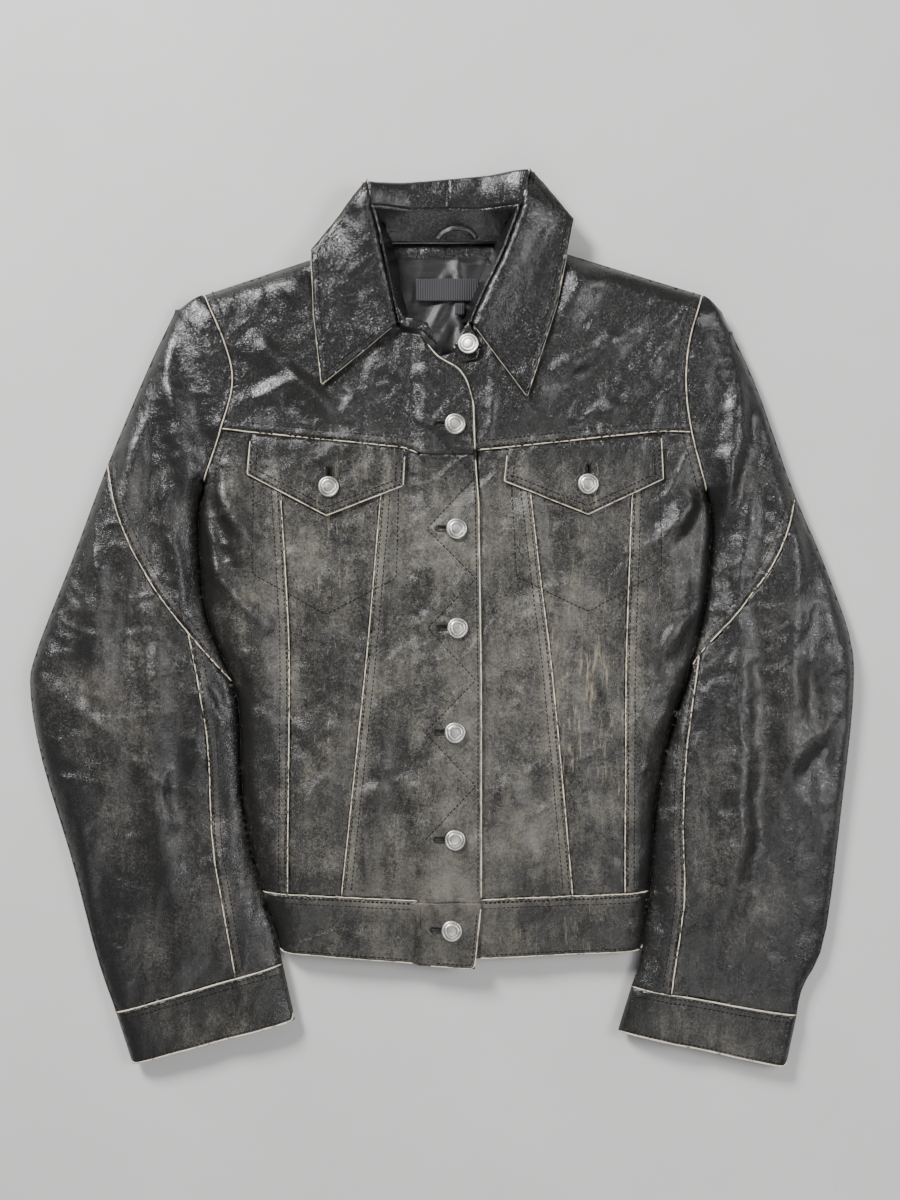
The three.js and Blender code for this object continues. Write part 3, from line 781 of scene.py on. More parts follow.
def leather_material(name, dark, rubbed, rub_share, polish):
    """Black finish rubbed back to brown grey, darker at the top by a painted shade, with tan scuffs
    where wear is high.
    """
    n = Nodes(name, 0.5)
    n.shader.inputs["Specular IOR Level"].default_value = 0.5
    patches = n.noise(15, 8, 0.68)
    streaks = n.noise(1, 6, 0.66, n.stretched((70, 17, 40), 5))
    pebbles = n.between(n.cells(760, vector=warped(n, 420, 0.0008)), 0.0, 0.34)
    wear, tone_and_shade, sewn = (n.attribute(layer) for layer in ("wear", "tone_and_shade", "sewn"))
    puckers = n.noise(300, 3, 0.6)
    # The tone layer brings in a painted shade that darkens the yoke, the collar and the sleeve caps.
    rub_and_shade = weighted(n, (patches, 0.50), (streaks, 0.28), (tone_and_shade, 0.16), (sewn, 0.08), (pebbles, 0.08))
    fleck = n.math("SUBTRACT", n.noise(420, 4, 0.7), 0.5)
    rub_and_shade = n.math("ADD", rub_and_shade, n.math("MULTIPLY", fleck, 0.30))
    colour = n.mix(n.between(rub_and_shade, 0.42, 0.70, 0.0, rub_share), dark, rubbed)
    scratches = n.noise(1, 6, 0.72, n.stretched((330, 42, 60), -7))
    scuffed = weighted(n, (scratches, 1.0), (wear, 0.15), (n.noise(9, 2), 0.30))
    colour = n.mix(n.between(scuffed, 0.84, 1.06, 0.0, 0.55), colour, (0.36, 0.31, 0.22, 1))
    roughness = n.between(weighted(n, (rub_and_shade, 0.7), (n.noise(500, 3), 0.3)), 0.3, 0.7, polish,
                          polish + 0.22)
    grain = n.bump(pebbles, 0.00011, 0.9)
    veins = n.bump(n.noise(1, 3, 0.5, n.stretched((150, 60, 90), 20)), 0.0005, 0.9, grain)
    soft = n.bump(n.noise(48, 3, 0.5), 0.0016, 0.9, veins)
    rolling = n.bump(n.noise(20, 2, 0.45, warped(n, 12, 0.02)), 0.0065, 0.9, soft)
    stitched = n.bump(n.math("MULTIPLY", puckers, sewn), 0.0009, 0.9, rolling)
    return n.finish(colour, roughness, stitched)


def weighted(n, *terms):
    """Sum of values, each times its weight."""
    total = n.math("MULTIPLY", *terms[0])
    for value, weight in terms[1:]:
        total = n.math("ADD", total, n.math("MULTIPLY", value, weight))
    return total


def warped(n, scale, amount):
    """Coordinates pushed about by noise, so that cells lose their regular look."""
    node = n.add("ShaderNodeTexNoise", Vector=n.coords, Scale=scale, Detail=2.0)
    centred = n.add("ShaderNodeVectorMath", {"operation": "SUBTRACT"})
    n.put(centred.inputs[0], node.outputs["Color"])
    centred.inputs[1].default_value = (0.5, 0.5, 0.5)
    scaled = n.add("ShaderNodeVectorMath", {"operation": "SCALE"})
    n.put(scaled.inputs[0], centred.outputs[0])
    scaled.inputs["Scale"].default_value = amount
    moved = n.add("ShaderNodeVectorMath", {"operation": "ADD"})
    n.put(moved.inputs[0], n.coords)
    n.put(moved.inputs[1], scaled.outputs[0])
    return moved.outputs[0]


def edge_material():
    """Turned edge where the finish has worn through to the hide."""
    n = Nodes("worn_edge", 0.72)
    broken = n.noise(150, 5, 0.7)
    colour = n.mix(n.between(broken, 0.30, 0.52), (0.07, 0.06, 0.045, 1), (0.56, 0.50, 0.39, 1))
    return n.finish(colour, normal=n.bump(n.noise(900, 3), 0.0002))


def thread_material():
    n = Nodes("black_thread", 0.8)
    n.shader.inputs["Specular IOR Level"].default_value = 0.25
    twist = n.noise(1, 2, 0.5, n.stretched((2600, 2600, 900), 30))
    colour = n.mix(twist, (0.003, 0.003, 0.003, 1), (0.012, 0.011, 0.010, 1))
    return n.finish(colour, normal=n.bump(twist, 0.0002))


def satin_material():
    n = Nodes("black_satin", 0.34)
    n.shader.inputs["Sheen Weight"].default_value = 0.1
    n.shader.inputs["Sheen Roughness"].default_value = 0.4
    weft = n.add("ShaderNodeTexWave", {"bands_direction": "Y"}, Vector=n.coords, Scale=700.0,
                 Distortion=0.6).outputs["Fac"]
    slubs = n.noise(1, 4, 0.6, n.stretched((60, 900, 60)))
    colour = n.mix(slubs, (0.006, 0.0055, 0.006, 1), (0.017, 0.015, 0.015, 1))
    roughness = n.between(slubs, 0.2, 0.8, 0.28, 0.46)
    return n.finish(colour, roughness, n.bump(weft, 0.00008, 0.5))


def ribbed_material():
    n = Nodes("woven_ribbon", 0.7)
    ribs = n.add("ShaderNodeTexWave", {"bands_direction": "X"}, Vector=n.coords, Scale=160.0,
                 Distortion=0.3).outputs["Fac"]
    threads = n.noise(1, 3, 0.6, n.stretched((2400, 500, 500)))
    colour = n.mix(ribs, (0.007, 0.007, 0.009, 1), (0.026, 0.026, 0.031, 1))
    colour = n.mix(n.math("MULTIPLY", threads, 0.4), colour, (0.02, 0.02, 0.024, 1))
    return n.finish(colour, normal=n.bump(ribs, 0.0003))


def metal_material():
    """Matt silver with darkened hollows."""
    n = Nodes("matt_silver", 0.42, 1.0)
    tarnish = n.noise(320, 5, 0.65)
    colour = n.mix(n.between(tarnish, 0.35, 0.75), (0.74, 0.73, 0.69, 1), (0.44, 0.42, 0.38, 1))
    hollow = n.attribute("wear")
    colour = n.mix(n.math("MULTIPLY", hollow, 0.85), colour, (0.07, 0.065, 0.06, 1))
    roughness = n.between(tarnish, 0.3, 0.7, 0.3, 0.52)
    return n.finish(colour, roughness, n.bump(n.noise(1500, 3), 0.00006, 0.6))


LEATHER_FRONT = leather_material("leather_front", (0.009, 0.0085, 0.008, 1),
                                 (0.140, 0.130, 0.108, 1), 0.92, 0.27)
LEATHER_SLEEVE = leather_material("leather_sleeve", (0.009, 0.0085, 0.0082, 1),
                                  (0.120, 0.110, 0.096, 1), 0.9, 0.25)
LEATHER_TRIM = leather_material("leather_trim", (0.008, 0.0075, 0.007, 1),
                                (0.120, 0.110, 0.090, 1), 0.88, 0.27)
WORN_EDGE = edge_material()
THREAD = thread_material()
SATIN = satin_material()
RIBBED = ribbed_material()
SILVER = metal_material()

# ---- Pieces ----------------------------------------------------------------------------

PIECES = {}


def place(piece, body, slot, nodes=(), blend=None):
    """Ties a piece to the frame: it rides on a body. Given a blend, its transform is only baked in and
    it rides on no body.
    """
    if blend is None:
        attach(piece, body)
    else:
        other, start, end = blend
        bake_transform(piece)
        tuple(start)
        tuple(end)
    if nodes:
        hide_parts(*nodes)
    PIECES[piece.name] = piece
    return piece


def front_edge_blend():
    y, z = 0.0, LAP * MM + FRONT * MM
    return "front_edge", ((EDGE_FOLD - 6) * MM, y, z), ((EDGE_FOLD + 6) * MM, y, z)


def crossing(side, joint, body, before, after):
    """Across a joint's fold line, from the torso to the body that turns, in metres."""
    fold = next(j for j in frame["joints"] if j["name"] == f"{side}_{joint}")
    origin, axis = Vector(fold["pos_m"]), Vector(fold["axis"]).normalized()
    outward = Vector((-axis.y, axis.x, 0))
    if outward.x * SIDES[side] < 0:
        outward = -outward
    return f"{side}_{body}", tuple(origin + outward * before), tuple(origin + outward * after)


def rim_wear(p, outline, reach=3.0):
    return np.exp(-nearest(p, outline, closed=True)[0] / reach)


def scuffs(p):
    """Where the hide shows most: the middle panels, the pockets and the left waistband."""
    total = np.zeros(len(p))
    for node, strength in (("middle_panel_right", 0.9), ("middle_panel_left", 1.0),
                           ("pocket_flap_right", 0.5), ("pocket_flap_left", 0.6),
                           ("waistband_left", 0.5), ("centre_panel_right", 0.25)):
        low, high = corners(node)
        centre, half = (low + high)[:2] / 2, (high - low)[:2] / 2
        off = np.linalg.norm((p - centre) / half, axis=1)
        total += strength * np.exp(-(off ** 2))
    return total


def tones_and_shade(p, rim):
    """Paler where the leather is flat and handled, darker towards the folded sides, and darker at the
    top by a painted shade.
    """
    middle_x = (CAD_BOX[0][0] + CAD_BOX[1][0]) / 2 / MM
    body = np.exp(-(((p[:, 0] - middle_x) / 150) ** 2)) * smoothstep(190, 60, p[:, 1])
    # upper adds a painted shade: the leather is darkened towards the neck, over the yoke, the collar and
    # the sleeve caps.
    upper = smoothstep(110, 200, p[:, 1])
    return 0.40 * body + 0.5 * smoothstep(0, 45, distance(p, rim)) - 0.25 - 1.3 * upper


def panel(name, nodes, height, material, body="torso", blend=None, slot="leather_shell",
          holes=(), step=GRID, up=True, thickness=LEATHER, rim=None, outlines=None):
    """A sheet of leather over the nodes' outline, at the height that a function gives."""
    outlines = joined([loops(node, up)[0] for node in nodes]) if outlines is None else outlines
    plan, tris = cover(outlines, holes, step)
    co = np.column_stack([plan, height(plan)])
    rim = TORSO_RIM if rim is None else rim
    edges = np.max([rim_wear(plan, loop) for loop in outlines], axis=0)
    if not up:
        tris = tris[:, ::-1]
    wear = scuffs(plan) + 0.8 * edges * fractal(plan, 14, 2, 61)
    piece = thick(name, co, tris, thickness, material, wear, tones_and_shade(plan, rim), sewn_band(plan))
    return place(piece, body, slot, nodes, blend)


def slit(start, end, width=1.4):
    """A buttonhole: a long narrow oval with a round keyhole at its start."""
    start, end = np.array(start, float), np.array(end, float)
    along = (end - start) / np.linalg.norm(end - start)
    across = np.array([-along[1], along[0]])
    turns = np.linspace(-math.pi / 2, math.pi / 2, 7)
    eye = [start - along * math.cos(t) * width * 1.1 - across * math.sin(t) * width * 1.1
           for t in turns]
    tip = [end + along * math.cos(t) * width / 2 + across * math.sin(t) * width / 2 for t in turns]
    loop = np.array(eye + tip)
    return loop if area(loop) > 0 else loop[::-1]


FRONT_SLITS = {name: slit(middle(name)[:2] - (15.5, 0), middle(name)[:2] + (1.5, 0))
               for name in FRONT_BUTTONS}
FLAP_SLITS = {side: slit(middle(f"flap_button_{side}")[:2] + (0, 14.5),
                         middle(f"flap_button_{side}")[:2] - (0, 1.5)) for side in SIDES}


def slits_in(*nodes):
    found = []
    for loop in FRONT_SLITS.values():
        centre = loop.mean(0)[None]
        if any(inside(centre, loops(node)[0])[0] for node in nodes):
            found.append(loop)
    return found


def right_front():
    edge = front_edge_blend()
    for name, nodes in (("front_yoke_right", ("yoke_right", "yoke_edge_right")),
                        ("front_centre_right", ("centre_panel_right", "placket_right"))):
        panel(name, nodes, lapped, LEATHER_FRONT, blend=edge, holes=slits_in(*nodes))
    nodes = ("waistband_right", "waistband_tab_right")
    panel("front_waist_right", nodes, lapped, LEATHER_TRIM, blend=edge, slot="leather_trim",
          holes=slits_in(*nodes))
    for part in ("side_panel", "middle_panel"):
        panel(f"front_{part}_right", (f"{part}_right",), front, LEATHER_FRONT)


def left_front():
    for part in ("yoke", "side_panel", "middle_panel", "centre_panel"):
        panel(f"front_{part}_left", (f"{part}_left",), front, LEATHER_FRONT)
    panel("front_button_stand", ("button_stand_left",), front, LEATHER_FRONT)
    panel("front_waist_left", ("waistband_left",), front, LEATHER_TRIM, slot="leather_trim")


def facings():
    panel("front_facing_right", ("facing_right",), lambda p: torso_top(p) + creased(p, TORSO_RIM) + 1.4,
          LEATHER_TRIM, body="front_edge", step=5, thickness=0.9,
          outlines=[grown(loops("facing_right")[0], -1.5)])
    panel("front_facing_left", ("facing_left",), lambda p: torso_top(p) - 2.6, LEATHER_TRIM, step=5,
          thickness=0.9)


def back():
    """The leather that lies on the floor, with its seams."""
    for name in ("back_yoke", "back_centre_panel", "back_side_panel_right", "back_side_panel_left",
                 "waistband_back"):
        slot = "leather_trim" if name == "waistband_back" else "leather_shell"
        material = LEATHER_TRIM if name == "waistband_back" else LEATHER_SLEEVE
        panel(f"{name}_leather", (name,), back_face, material, slot=slot, step=BACK_GRID, up=False)


def back_face(p):
    return torso_bottom(p) + 0.25 * fractal(p, 40, 2, 71)


def sleeves(side):
    body = f"{side}_sleeve"
    rim, _ = SLEEVE[side]

    def top(p):
        return sleeve(p, side)

    def bottom(p):
        return sleeve_bottom(p, side) + 0.25 * fractal(p, 40, 2, 72)

    def cuff_top(p):
        return sleeve_top(p, side) + sleeve_folds(p, side) * 0.55 + 0.7

    fold = crossing(side, "sleeve_fold", "sleeve", -0.012, 0.006)
    panel(f"sleeve_upper_front_{side}", (f"sleeve_cap_{side}", f"sleeve_upper_{side}"), top,
          LEATHER_SLEEVE, blend=fold, rim=rim)
    for part in ("forearm", "inner"):
        panel(f"sleeve_{part}_front_{side}", (f"sleeve_{part}_{side}",), top, LEATHER_SLEEVE,
              body=body, rim=rim)
    cuff = f"cuff_{side}"
    panel(f"cuff_front_{side}", (cuff,), cuff_top, LEATHER_TRIM, body=body, slot="leather_trim",
          rim=rim, thickness=2.0)
    lower = joined([loops(f"sleeve_cap_{side}", False)[0], loops(f"under_sleeve_{side}", False)[0]])
    piece = panel(f"sleeve_back_{side}", (), bottom, LEATHER_SLEEVE, blend=fold, rim=rim, up=False,
                  step=BACK_GRID, outlines=lower)
    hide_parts(f"under_sleeve_{side}")
    panel(f"cuff_back_{side}", (), bottom, LEATHER_TRIM, body=body, slot="leather_trim", rim=rim,
          up=False, step=BACK_GRID, thickness=2.0, outlines=[loops(cuff, False)[0]])


def flap(side):
    name = f"pocket_flap_{side}"
    outline = dense(loops(name)[0], 3, closed=True)
    top = outline[:, 1].max()

    def height(p):
        rounding = roundness(nearest(p, outline, closed=True)[0] + 0.3, 2.5) - 1
        tucked = 2.6 * np.exp(-np.maximum(top - p[:, 1], 0) / 6)
        return torso_top(p) + 0.7 * creased(p, TORSO_RIM) + 4.1 + rounding - tucked

    panel(f"flap_{side}", (name,), height, LEATHER_FRONT, body=f"{side}_flap", thickness=2.2,
          holes=[FLAP_SLITS[side]])
    return outline, height


# ---- Collar ----------------------------------------------------------------------------

def roll_line(side):
    """The collar leaf's inner edge, from the front up to the back."""
    line = dense(loops(f"collar_leaf_{side}")[0], 3, closed=True)
    neck_x = middle("collar_stand")[0]
    low, high = corners("collar_stand")
    toward = line[abs(line[:, 0] - neck_x) < abs(line[:, 0] - neck_x).max()]
    inner = []
    for y in np.arange(low[1] + 33, high[1], 4):
        row = toward[abs(toward[:, 1] - y) < 4]
        if len(row):
            inner.append((row[np.argmin(abs(row[:, 0] - neck_x))][0], y))
    return eased(np.array(inner), 3)


ROLL = {side: roll_line(side) for side in SIDES}
FALL_HIGH = 30.0
FALL_LOW = 15.0


def leaf(side):
    name = f"collar_leaf_{side}"
    outline = dense(loops(name)[0], 3, closed=True)
    low, high = corners(name)

    def height(p):
        from_roll = nearest(p, ROLL[side])[0]
        up_neck = smoothstep(low[1] + 60, high[1], p[:, 1])
        rest = FULL + 2.2 - 9 * smoothstep(high[1] - 75, high[1], p[:, 1]) * smoothstep(8, 50, from_roll)
        rest = np.maximum(rest, torso_top(p) * inside_torso(p) + 0.6 * creased(p, TORSO_RIM) + 1.4)
        hump = (2.5 + 6.5 * up_neck) * np.exp(-((from_roll - 6) / 17) ** 2)
        hump = hump - (2.5 + 5 * up_neck) * (1 - roundness(from_roll, 6)) * 0.8
        waves = 1.3 * (fractal(p, 40, 2, 81) - 0.5) + 0.7 * ridges(p, 28, 83, 70 * SIDES[side], 1.6)
        rounding = 1.2 * (roundness(nearest(p, outline, closed=True)[0] + 0.3, 3) - 1)
        return rest + hump + waves * smoothstep(2, 12, from_roll) + 2.2 + rounding

    turn = crossing(side, "collar_turn_up", "collar_leaf", 0.001, 0.013)
    panel(f"collar_{side}", (name,), height, LEATHER_SLEEVE, blend=turn, thickness=2.0)
    return outline, height, turn


def inside_torso(p):
    """1 over the torso, 0 beyond the shoulder seams."""
    whole = loops("back_yoke", up=False)[0]
    return inside(p, whole).astype(float) * smoothstep(0, 8, nearest(p, whole, closed=True)[0])


def resampled(line, count):
    line = np.asarray(line, float)
    run = np.concatenate([[0], np.cumsum(np.linalg.norm(np.diff(line, axis=0), axis=1))])
    where = np.linspace(0, run[-1], count)
    return np.stack([np.interp(where, run, line[:, k]) for k in range(line.shape[1])], 1)


def lofted(name, rows, thickness, material):
    """A closed sheet through rows of points of equal count, its outer face up."""
    rows = np.array(rows)
    n, m = rows.shape[:2]
    tris = []
    for i in range(n - 1):
        for k in range(m - 1):
            a, b = i * m + k, i * m + k + 1
            tris += [(a, b, b + m), (a, b + m, a + m)]
    co = rows.reshape(-1, 3)
    tris = np.array(tris)
    plan = co[:, :2]
    return thick(name, co, tris, thickness, material, 0.15 * np.ones(len(co)), tones_and_shade(plan, TORSO_RIM))


def neck_height(x):
    """How high the collar stands above the floor across the back of the neck."""
    half = (ROLL["left"][-1, 0] - ROLL["right"][-1, 0]) / 2
    centre = (ROLL["left"][-1, 0] + ROLL["right"][-1, 0]) / 2
    return smoothstep(0.45, 1.05, abs(x - centre) / half)


def collar_stand():
    """The inner face of the stand, from the lining up to the roll line all round the neck."""
    back = loops("collar_stand", up=False)[0]
    low, high = back.min(0), back.max(0)
    right, left = ROLL["right"], ROLL["left"][::-1]
    top = np.concatenate([right[right[:, 1] < high[1]], [(low[0], high[1])]])
    across = np.array([(x, high[1]) for x in np.linspace(low[0], high[0], 24)])
    top_left = left[left[:, 1] < high[1]]
    foot_right = offset(right[right[:, 1] < low[1]], -8.5)
    foot_left = offset(left[left[:, 1] < low[1]], -8.5)
    tops = [resampled(top, 34), resampled(across, 30), resampled(top_left, 34)]
    feet = [resampled(foot_right, 34),
            resampled([foot_right[-1], (low[0] + 9, low[1]), (high[0] - 9, low[1]), foot_left[0]], 30),
            resampled(foot_left, 34)]
    top = np.concatenate([tops[0], tops[1][1:], tops[2][1:]])
    foot = np.concatenate([feet[0], feet[1][1:], feet[2][1:]])
    lift = np.where(top[:, 1] > high[1] - 0.5, neck_height(top[:, 0]), 1.0)
    crest = FALL_LOW + (FALL_HIGH - FALL_LOW) * lift
    crest = crest - 5.5 * smoothstep(high[1] - 20, high[1] - 95, top[:, 1])
    rows = []
    for t in np.linspace(0, 1, 12):
        plan = foot * (1 - t) + top * t
        z = 4.2 + (crest - 4.2) * (0.25 * t + 0.75 * t ** 1.6)
        z = z + 1.6 * (fractal(plan, 22, 2, 91) - 0.5) * math.sin(math.pi * t)
        rows.append(np.column_stack([plan, z]))
    piece = lofted("collar_stand_inside", rows[::-1], 1.4, LEATHER_SLEEVE)
    place(piece, "torso", "leather_shell", ("collar_stand",))
    return rows


def collar_ends():
    """The ends of the stand, lying on the fronts, the right one over the lap. The right end's buttonhole
    is not cut, and the button on the left is made with the other buttons.
    """
    level = corners("front_button_1")[1][2] - corners("front_button_2")[1][2] + LAP + FRONT
    for side, raise_by in (("right", LAP + 1.6), ("left", 2.2)):
        ends = [loop for loop in loops("collar_stand", level=level) if area(loop) > 60]
        centre = middle("collar_stand")[0]
        mine = [loop for loop in ends if (loop.mean(0)[0] - centre) * SIDES[side] > 0]
        if not mine:
            continue
        panel(f"collar_stand_end_{side}", (), lambda p: torso_top(p) + creased(p, TORSO_RIM) + raise_by,
              LEATHER_TRIM, outlines=[mine[0]], step=2)


def collar_fall():
    """The turned-over part behind the neck, in two halves."""
    seam_y = corners("collar_back_fall")[0][1]
    outline = dense(loops("collar_back_fall", up=False)[0], 3, closed=True)
    low, high = outline.min(0), outline.max(0)
    inner_y = loops("collar_stand", up=False)[0].max(0)[1]
    centre = (low[0] + high[0]) / 2
    for side, sign in SIDES.items():
        end = low[0] if sign < 0 else high[0]
        xs = np.linspace(centre, end, 26)
        fold = np.array([outline[abs(outline[:, 0] - x) < 5][:, 1].max() for x in xs])
        crest = FALL_LOW + (FALL_HIGH - FALL_LOW) * neck_height(xs)
        rows = []
        for t in np.linspace(0, 1, 8):
            y = inner_y - 1 + (fold - 4 - inner_y + 1) * t
            z = crest - 0.2 + 2.2 * math.sin(math.pi * t * 0.8) * np.ones(len(xs))
            rows.append(np.stack([xs, y, z + 1.0 * (fractal(np.stack([xs, y], 1), 20, 2, 93) - 0.5)], 1))
        for turn in np.linspace(15, 165, 7):
            angle = math.radians(turn)
            depth = (crest + 0.9) / 2
            y = fold - 4 + 4 * math.sin(angle)
            rows.append(np.stack([xs, y, depth + depth * math.cos(angle) + 0.3], 1))
        for t in np.linspace(0.15, 1, 6):
            y = fold - 4 + (seam_y + 2 - fold + 4) * t
            rows.append(np.stack([xs, y, np.full(len(xs), 0.9)], 1))
        rows = [row[::-1] for row in rows] if sign < 0 else rows
        piece = lofted(f"collar_fall_{side}", rows, 0.8, LEATHER_SLEEVE)
        start = ((centre + sign * 30) * MM, seam_y * MM, FRONT * MM)
        stop = ((centre + sign * 62) * MM, seam_y * MM, FRONT * MM)
        place(piece, "torso", "leather_shell", ("collar_back_fall",) if sign < 0 else (),
              (f"{side}_collar_leaf", start, stop))


# ---- Linings, pockets, label -----------------------------------------------------------

def cloth(name, outlines, height, body="torso", nodes=(), blend=None, step=7.0):
    """A sheet of lining laid over its outline."""
    plan, tris = cover(outlines, (), step)
    co = np.column_stack([plan, height(plan)])
    piece = thick(name, co, tris, 0.5, SATIN)
    place(piece, body, "satin_lining", nodes, blend)
    cut = sum(abs(area(loop)) for loop in outlines[:1]) * 1.03 * MM * MM
    return piece


def back_lining():
    """Loose folds and the pleat down the middle of the back."""
    low, high = corners("back_lining")
    pleat_x = (low[0] + high[0]) / 2 + 4

    def height(p):
        folds = 4.5 * fractal(p, 26, 3, 101, 70, 2.0) + 2.2 * ridges(p, 18, 103, 60, 2.4)
        lean = p[:, 0] - pleat_x - 0.03 * (high[1] - p[:, 1])
        pleat = 2.6 * smoothstep(-9, 0, lean) * (1 - smoothstep(0, 1.6, lean))
        return 2.3 + folds * smoothstep(0, 14, distance(p, TORSO_RIM)) + pleat

    piece = cloth("lining_back", [loops("back_lining")[0]], height, nodes=("back_lining",),
                  step=4.0)
    return height


def front_linings():
    for side in SIDES:
        node = f"front_lining_{side}"
        cloth(f"lining_front_{side}", [loops(node)[0]],
              lambda p: SIDE_FOLD + 0.4 * (torso_top(p) - SIDE_FOLD) + 0.8 * fractal(p, 40, 2, 105),
              nodes=(node,))


def sleeve_linings():
    for side in SIDES:
        node = f"sleeve_lining_{side}"
        outline = loops(node)[0]
        body = f"{side}_sleeve"
        cloth(f"lining_sleeve_upper_{side}", [outline],
              lambda p, s=side: sleeve_top(p, s) - 4.2 + 1.2 * (fractal(p, 40, 2, 107) - 0.5),
              body=body, nodes=(node,))
        cloth(f"lining_sleeve_under_{side}", [outline],
              lambda p, s=side: sleeve_bottom(p, s) + 2.6 + 0.8 * fractal(p, 40, 2, 109),
              body=body)


def pocket_bags():
    """A cloth pouch that sags behind each pocket."""
    for side in SIDES:
        node = f"pocket_bag_{side}"
        rim = grown(loops(node)[0], -2.0)

        def height(p, rim=rim):
            sag = roundness(nearest(p, rim, closed=True)[0], 14)
            return torso_top(p) - 2.9 - 3.4 * sag - 0.6 * fractal(p, 30, 2, 111)

        cloth(f"pocket_pouch_{side}", [rim], height, nodes=(node,),
              step=4.0)


def label_and_loop(lining):
    """A blank ribbed label, a folded size tab and the hanger loop."""
    for name, rise in (("neck_label", 1.0), ("size_tab", 1.4)):
        low, high = corners(name)
        loop = np.array([(low[0], low[1]), (high[0], low[1]), (high[0], high[1]), (low[0], high[1])])
        plan, tris = cover([loop], (), 1.6)
        z = lining(plan).max() + rise - 0.4 + 0.5 * np.sin(plan[:, 0] / 6)
        piece = thick(f"{name}_ribbed", np.column_stack([plan, z]), tris, 0.5, RIBBED)
        place(piece, "torso", "woven_label", (name,))
    outline = dense(loops("hanger_loop")[0], 1.5, closed=True)
    plan, tris = cover([outline], (), 1.5)
    low, high = corners("hanger_loop")
    z = 8.0 + 7 * np.sin(math.pi * (plan[:, 0] - low[0]) / (high[0] - low[0]))
    piece = thick("hanger_strap", np.column_stack([plan, z]), tris, 1.2, LEATHER_TRIM)
    place(piece, "torso", "leather_trim", ("hanger_loop",))


# ---- Buttons ---------------------------------------------------------------------------

def button(node, body, seat, tilt=(0.0, 0.0)):
    """A domed shank button with a rim, a stepped ring and a ring of small beads."""
    low, high = corners(node)
    centre, radius = (low + high) / 2, (high[0] - low[0]) / 2
    foot = low[2] - FRONT
    profile = [(0.01, foot), (5.0, foot), (5.0, foot + 1.0), (2.2, foot + 1.1), (2.2, 0.2),
               (radius - 1.2, 0.2), (radius - 0.3, 0.6), (radius, 1.2), (radius - 0.1, 2.0),
               (radius - 0.7, 2.7), (radius - 1.4, 2.8), (radius - 1.9, 2.4), (radius - 2.3, 2.35),
               (radius - 2.8, 2.9), (radius - 4.0, 3.25), (radius - 4.4, 2.8), (radius - 4.8, 2.85),
               (radius * 0.32, 3.1), (radius * 0.14, 3.2), (0.01, 3.22)]
    hollow = [0, 0, 0, 0, 0.4, 0.3, 0, 0, 0, 0, 0.15, 0.9, 0.8, 0.1, 0.1, 0.9, 0.6, 0.1, 0, 0]
    turns = 48
    co, dark, faces = [], [], []
    for (r, z), shade in zip(profile, hollow):
        for k in range(turns):
            angle = 2 * math.pi * k / turns
            beads = 0.22 * (k % 4 == 0) if abs(r - (radius - 4.0)) < 0.01 else 0.0
            co.append((r * math.cos(angle), r * math.sin(angle), z + beads))
            dark.append(shade)
    for i in range(len(profile) - 1):
        for k in range(turns):
            a, b = i * turns + k, i * turns + (k + 1) % turns
            faces.append((a, b, b + turns, a + turns))
    last = (len(profile) - 1) * turns
    faces += [tuple(range(turns))[::-1], tuple(last + k for k in range(turns))]
    co = np.array(co)
    co[:, 2] += co[:, 0] * math.tan(tilt[0]) + co[:, 1] * math.tan(tilt[1])
    co += (centre[0], centre[1], seat)
    piece = make(f"{node}_turned", co, faces, SILVER, np.array([len(f) == 4 for f in faces]))
    paint(piece, "wear", dark)
    return place(piece, body, "button_metal", (node,))


def buttons(flap_heights):
    rng = np.random.default_rng(5)
    for name in FRONT_BUTTONS:
        at = middle(name)[:2][None]
        button(name, "torso", lapped(at)[0] + 0.4, tuple(rng.uniform(-0.05, 0.05, 2)))
    at = middle("front_button_1")[:2][None]
    button("front_button_1", "torso", torso_top(at)[0] + 2.9, (0.20, -0.10))
    for side in SIDES:
        at = middle(f"flap_button_{side}")[:2][None]
        button(f"flap_button_{side}", "torso", flap_heights[side](at)[0] + 0.5)


# ---- Stitching and worn edges ----------------------------------------------------------

def capsules(line, height, pitch=STITCH_PITCH, length=STITCH, radius=0.45, lift=0.12):
    """One small pointed bar for each stitch along the line."""
    run = np.concatenate([[0], np.cumsum(np.linalg.norm(np.diff(line, axis=0), axis=1))])
    count = int(run[-1] / pitch)
    if count < 1:
        return np.zeros((0, 3)), []
    mids = (np.arange(count) + 0.5) * run[-1] / count
    ends = []
    for shift in (-length / 2, length / 2):
        at = np.clip(mids + shift, 0, run[-1])
        plan = np.stack([np.interp(at, run, line[:, k]) for k in range(2)], 1)
        ends.append(np.column_stack([plan, height(plan) + lift]))
    start, stop = ends
    along = stop - start
    along /= np.maximum(np.linalg.norm(along, axis=1), 1e-9)[:, None]
    across = np.stack([-along[:, 1], along[:, 0], np.zeros(count)], 1) * radius
    up = np.cross(along, across)
    up = up / np.maximum(np.linalg.norm(up, axis=1), 1e-9)[:, None] * radius * 0.8
    rings = []
    for t in (0.2, 0.8):
        core = start + (stop - start) * t
        rings += [core + across, core + up, core - across, core - up]
    co = np.stack([start] + rings + [stop], 1).reshape(-1, 3)
    faces = []
    for n in range(count):
        base = n * 10
        for k in range(4):
            a, b = base + 1 + k, base + 1 + (k + 1) % 4
            faces += [(base, b, a), (a, b, b + 4, a + 4), (a + 4, b + 4, base + 9)]
    return co, faces


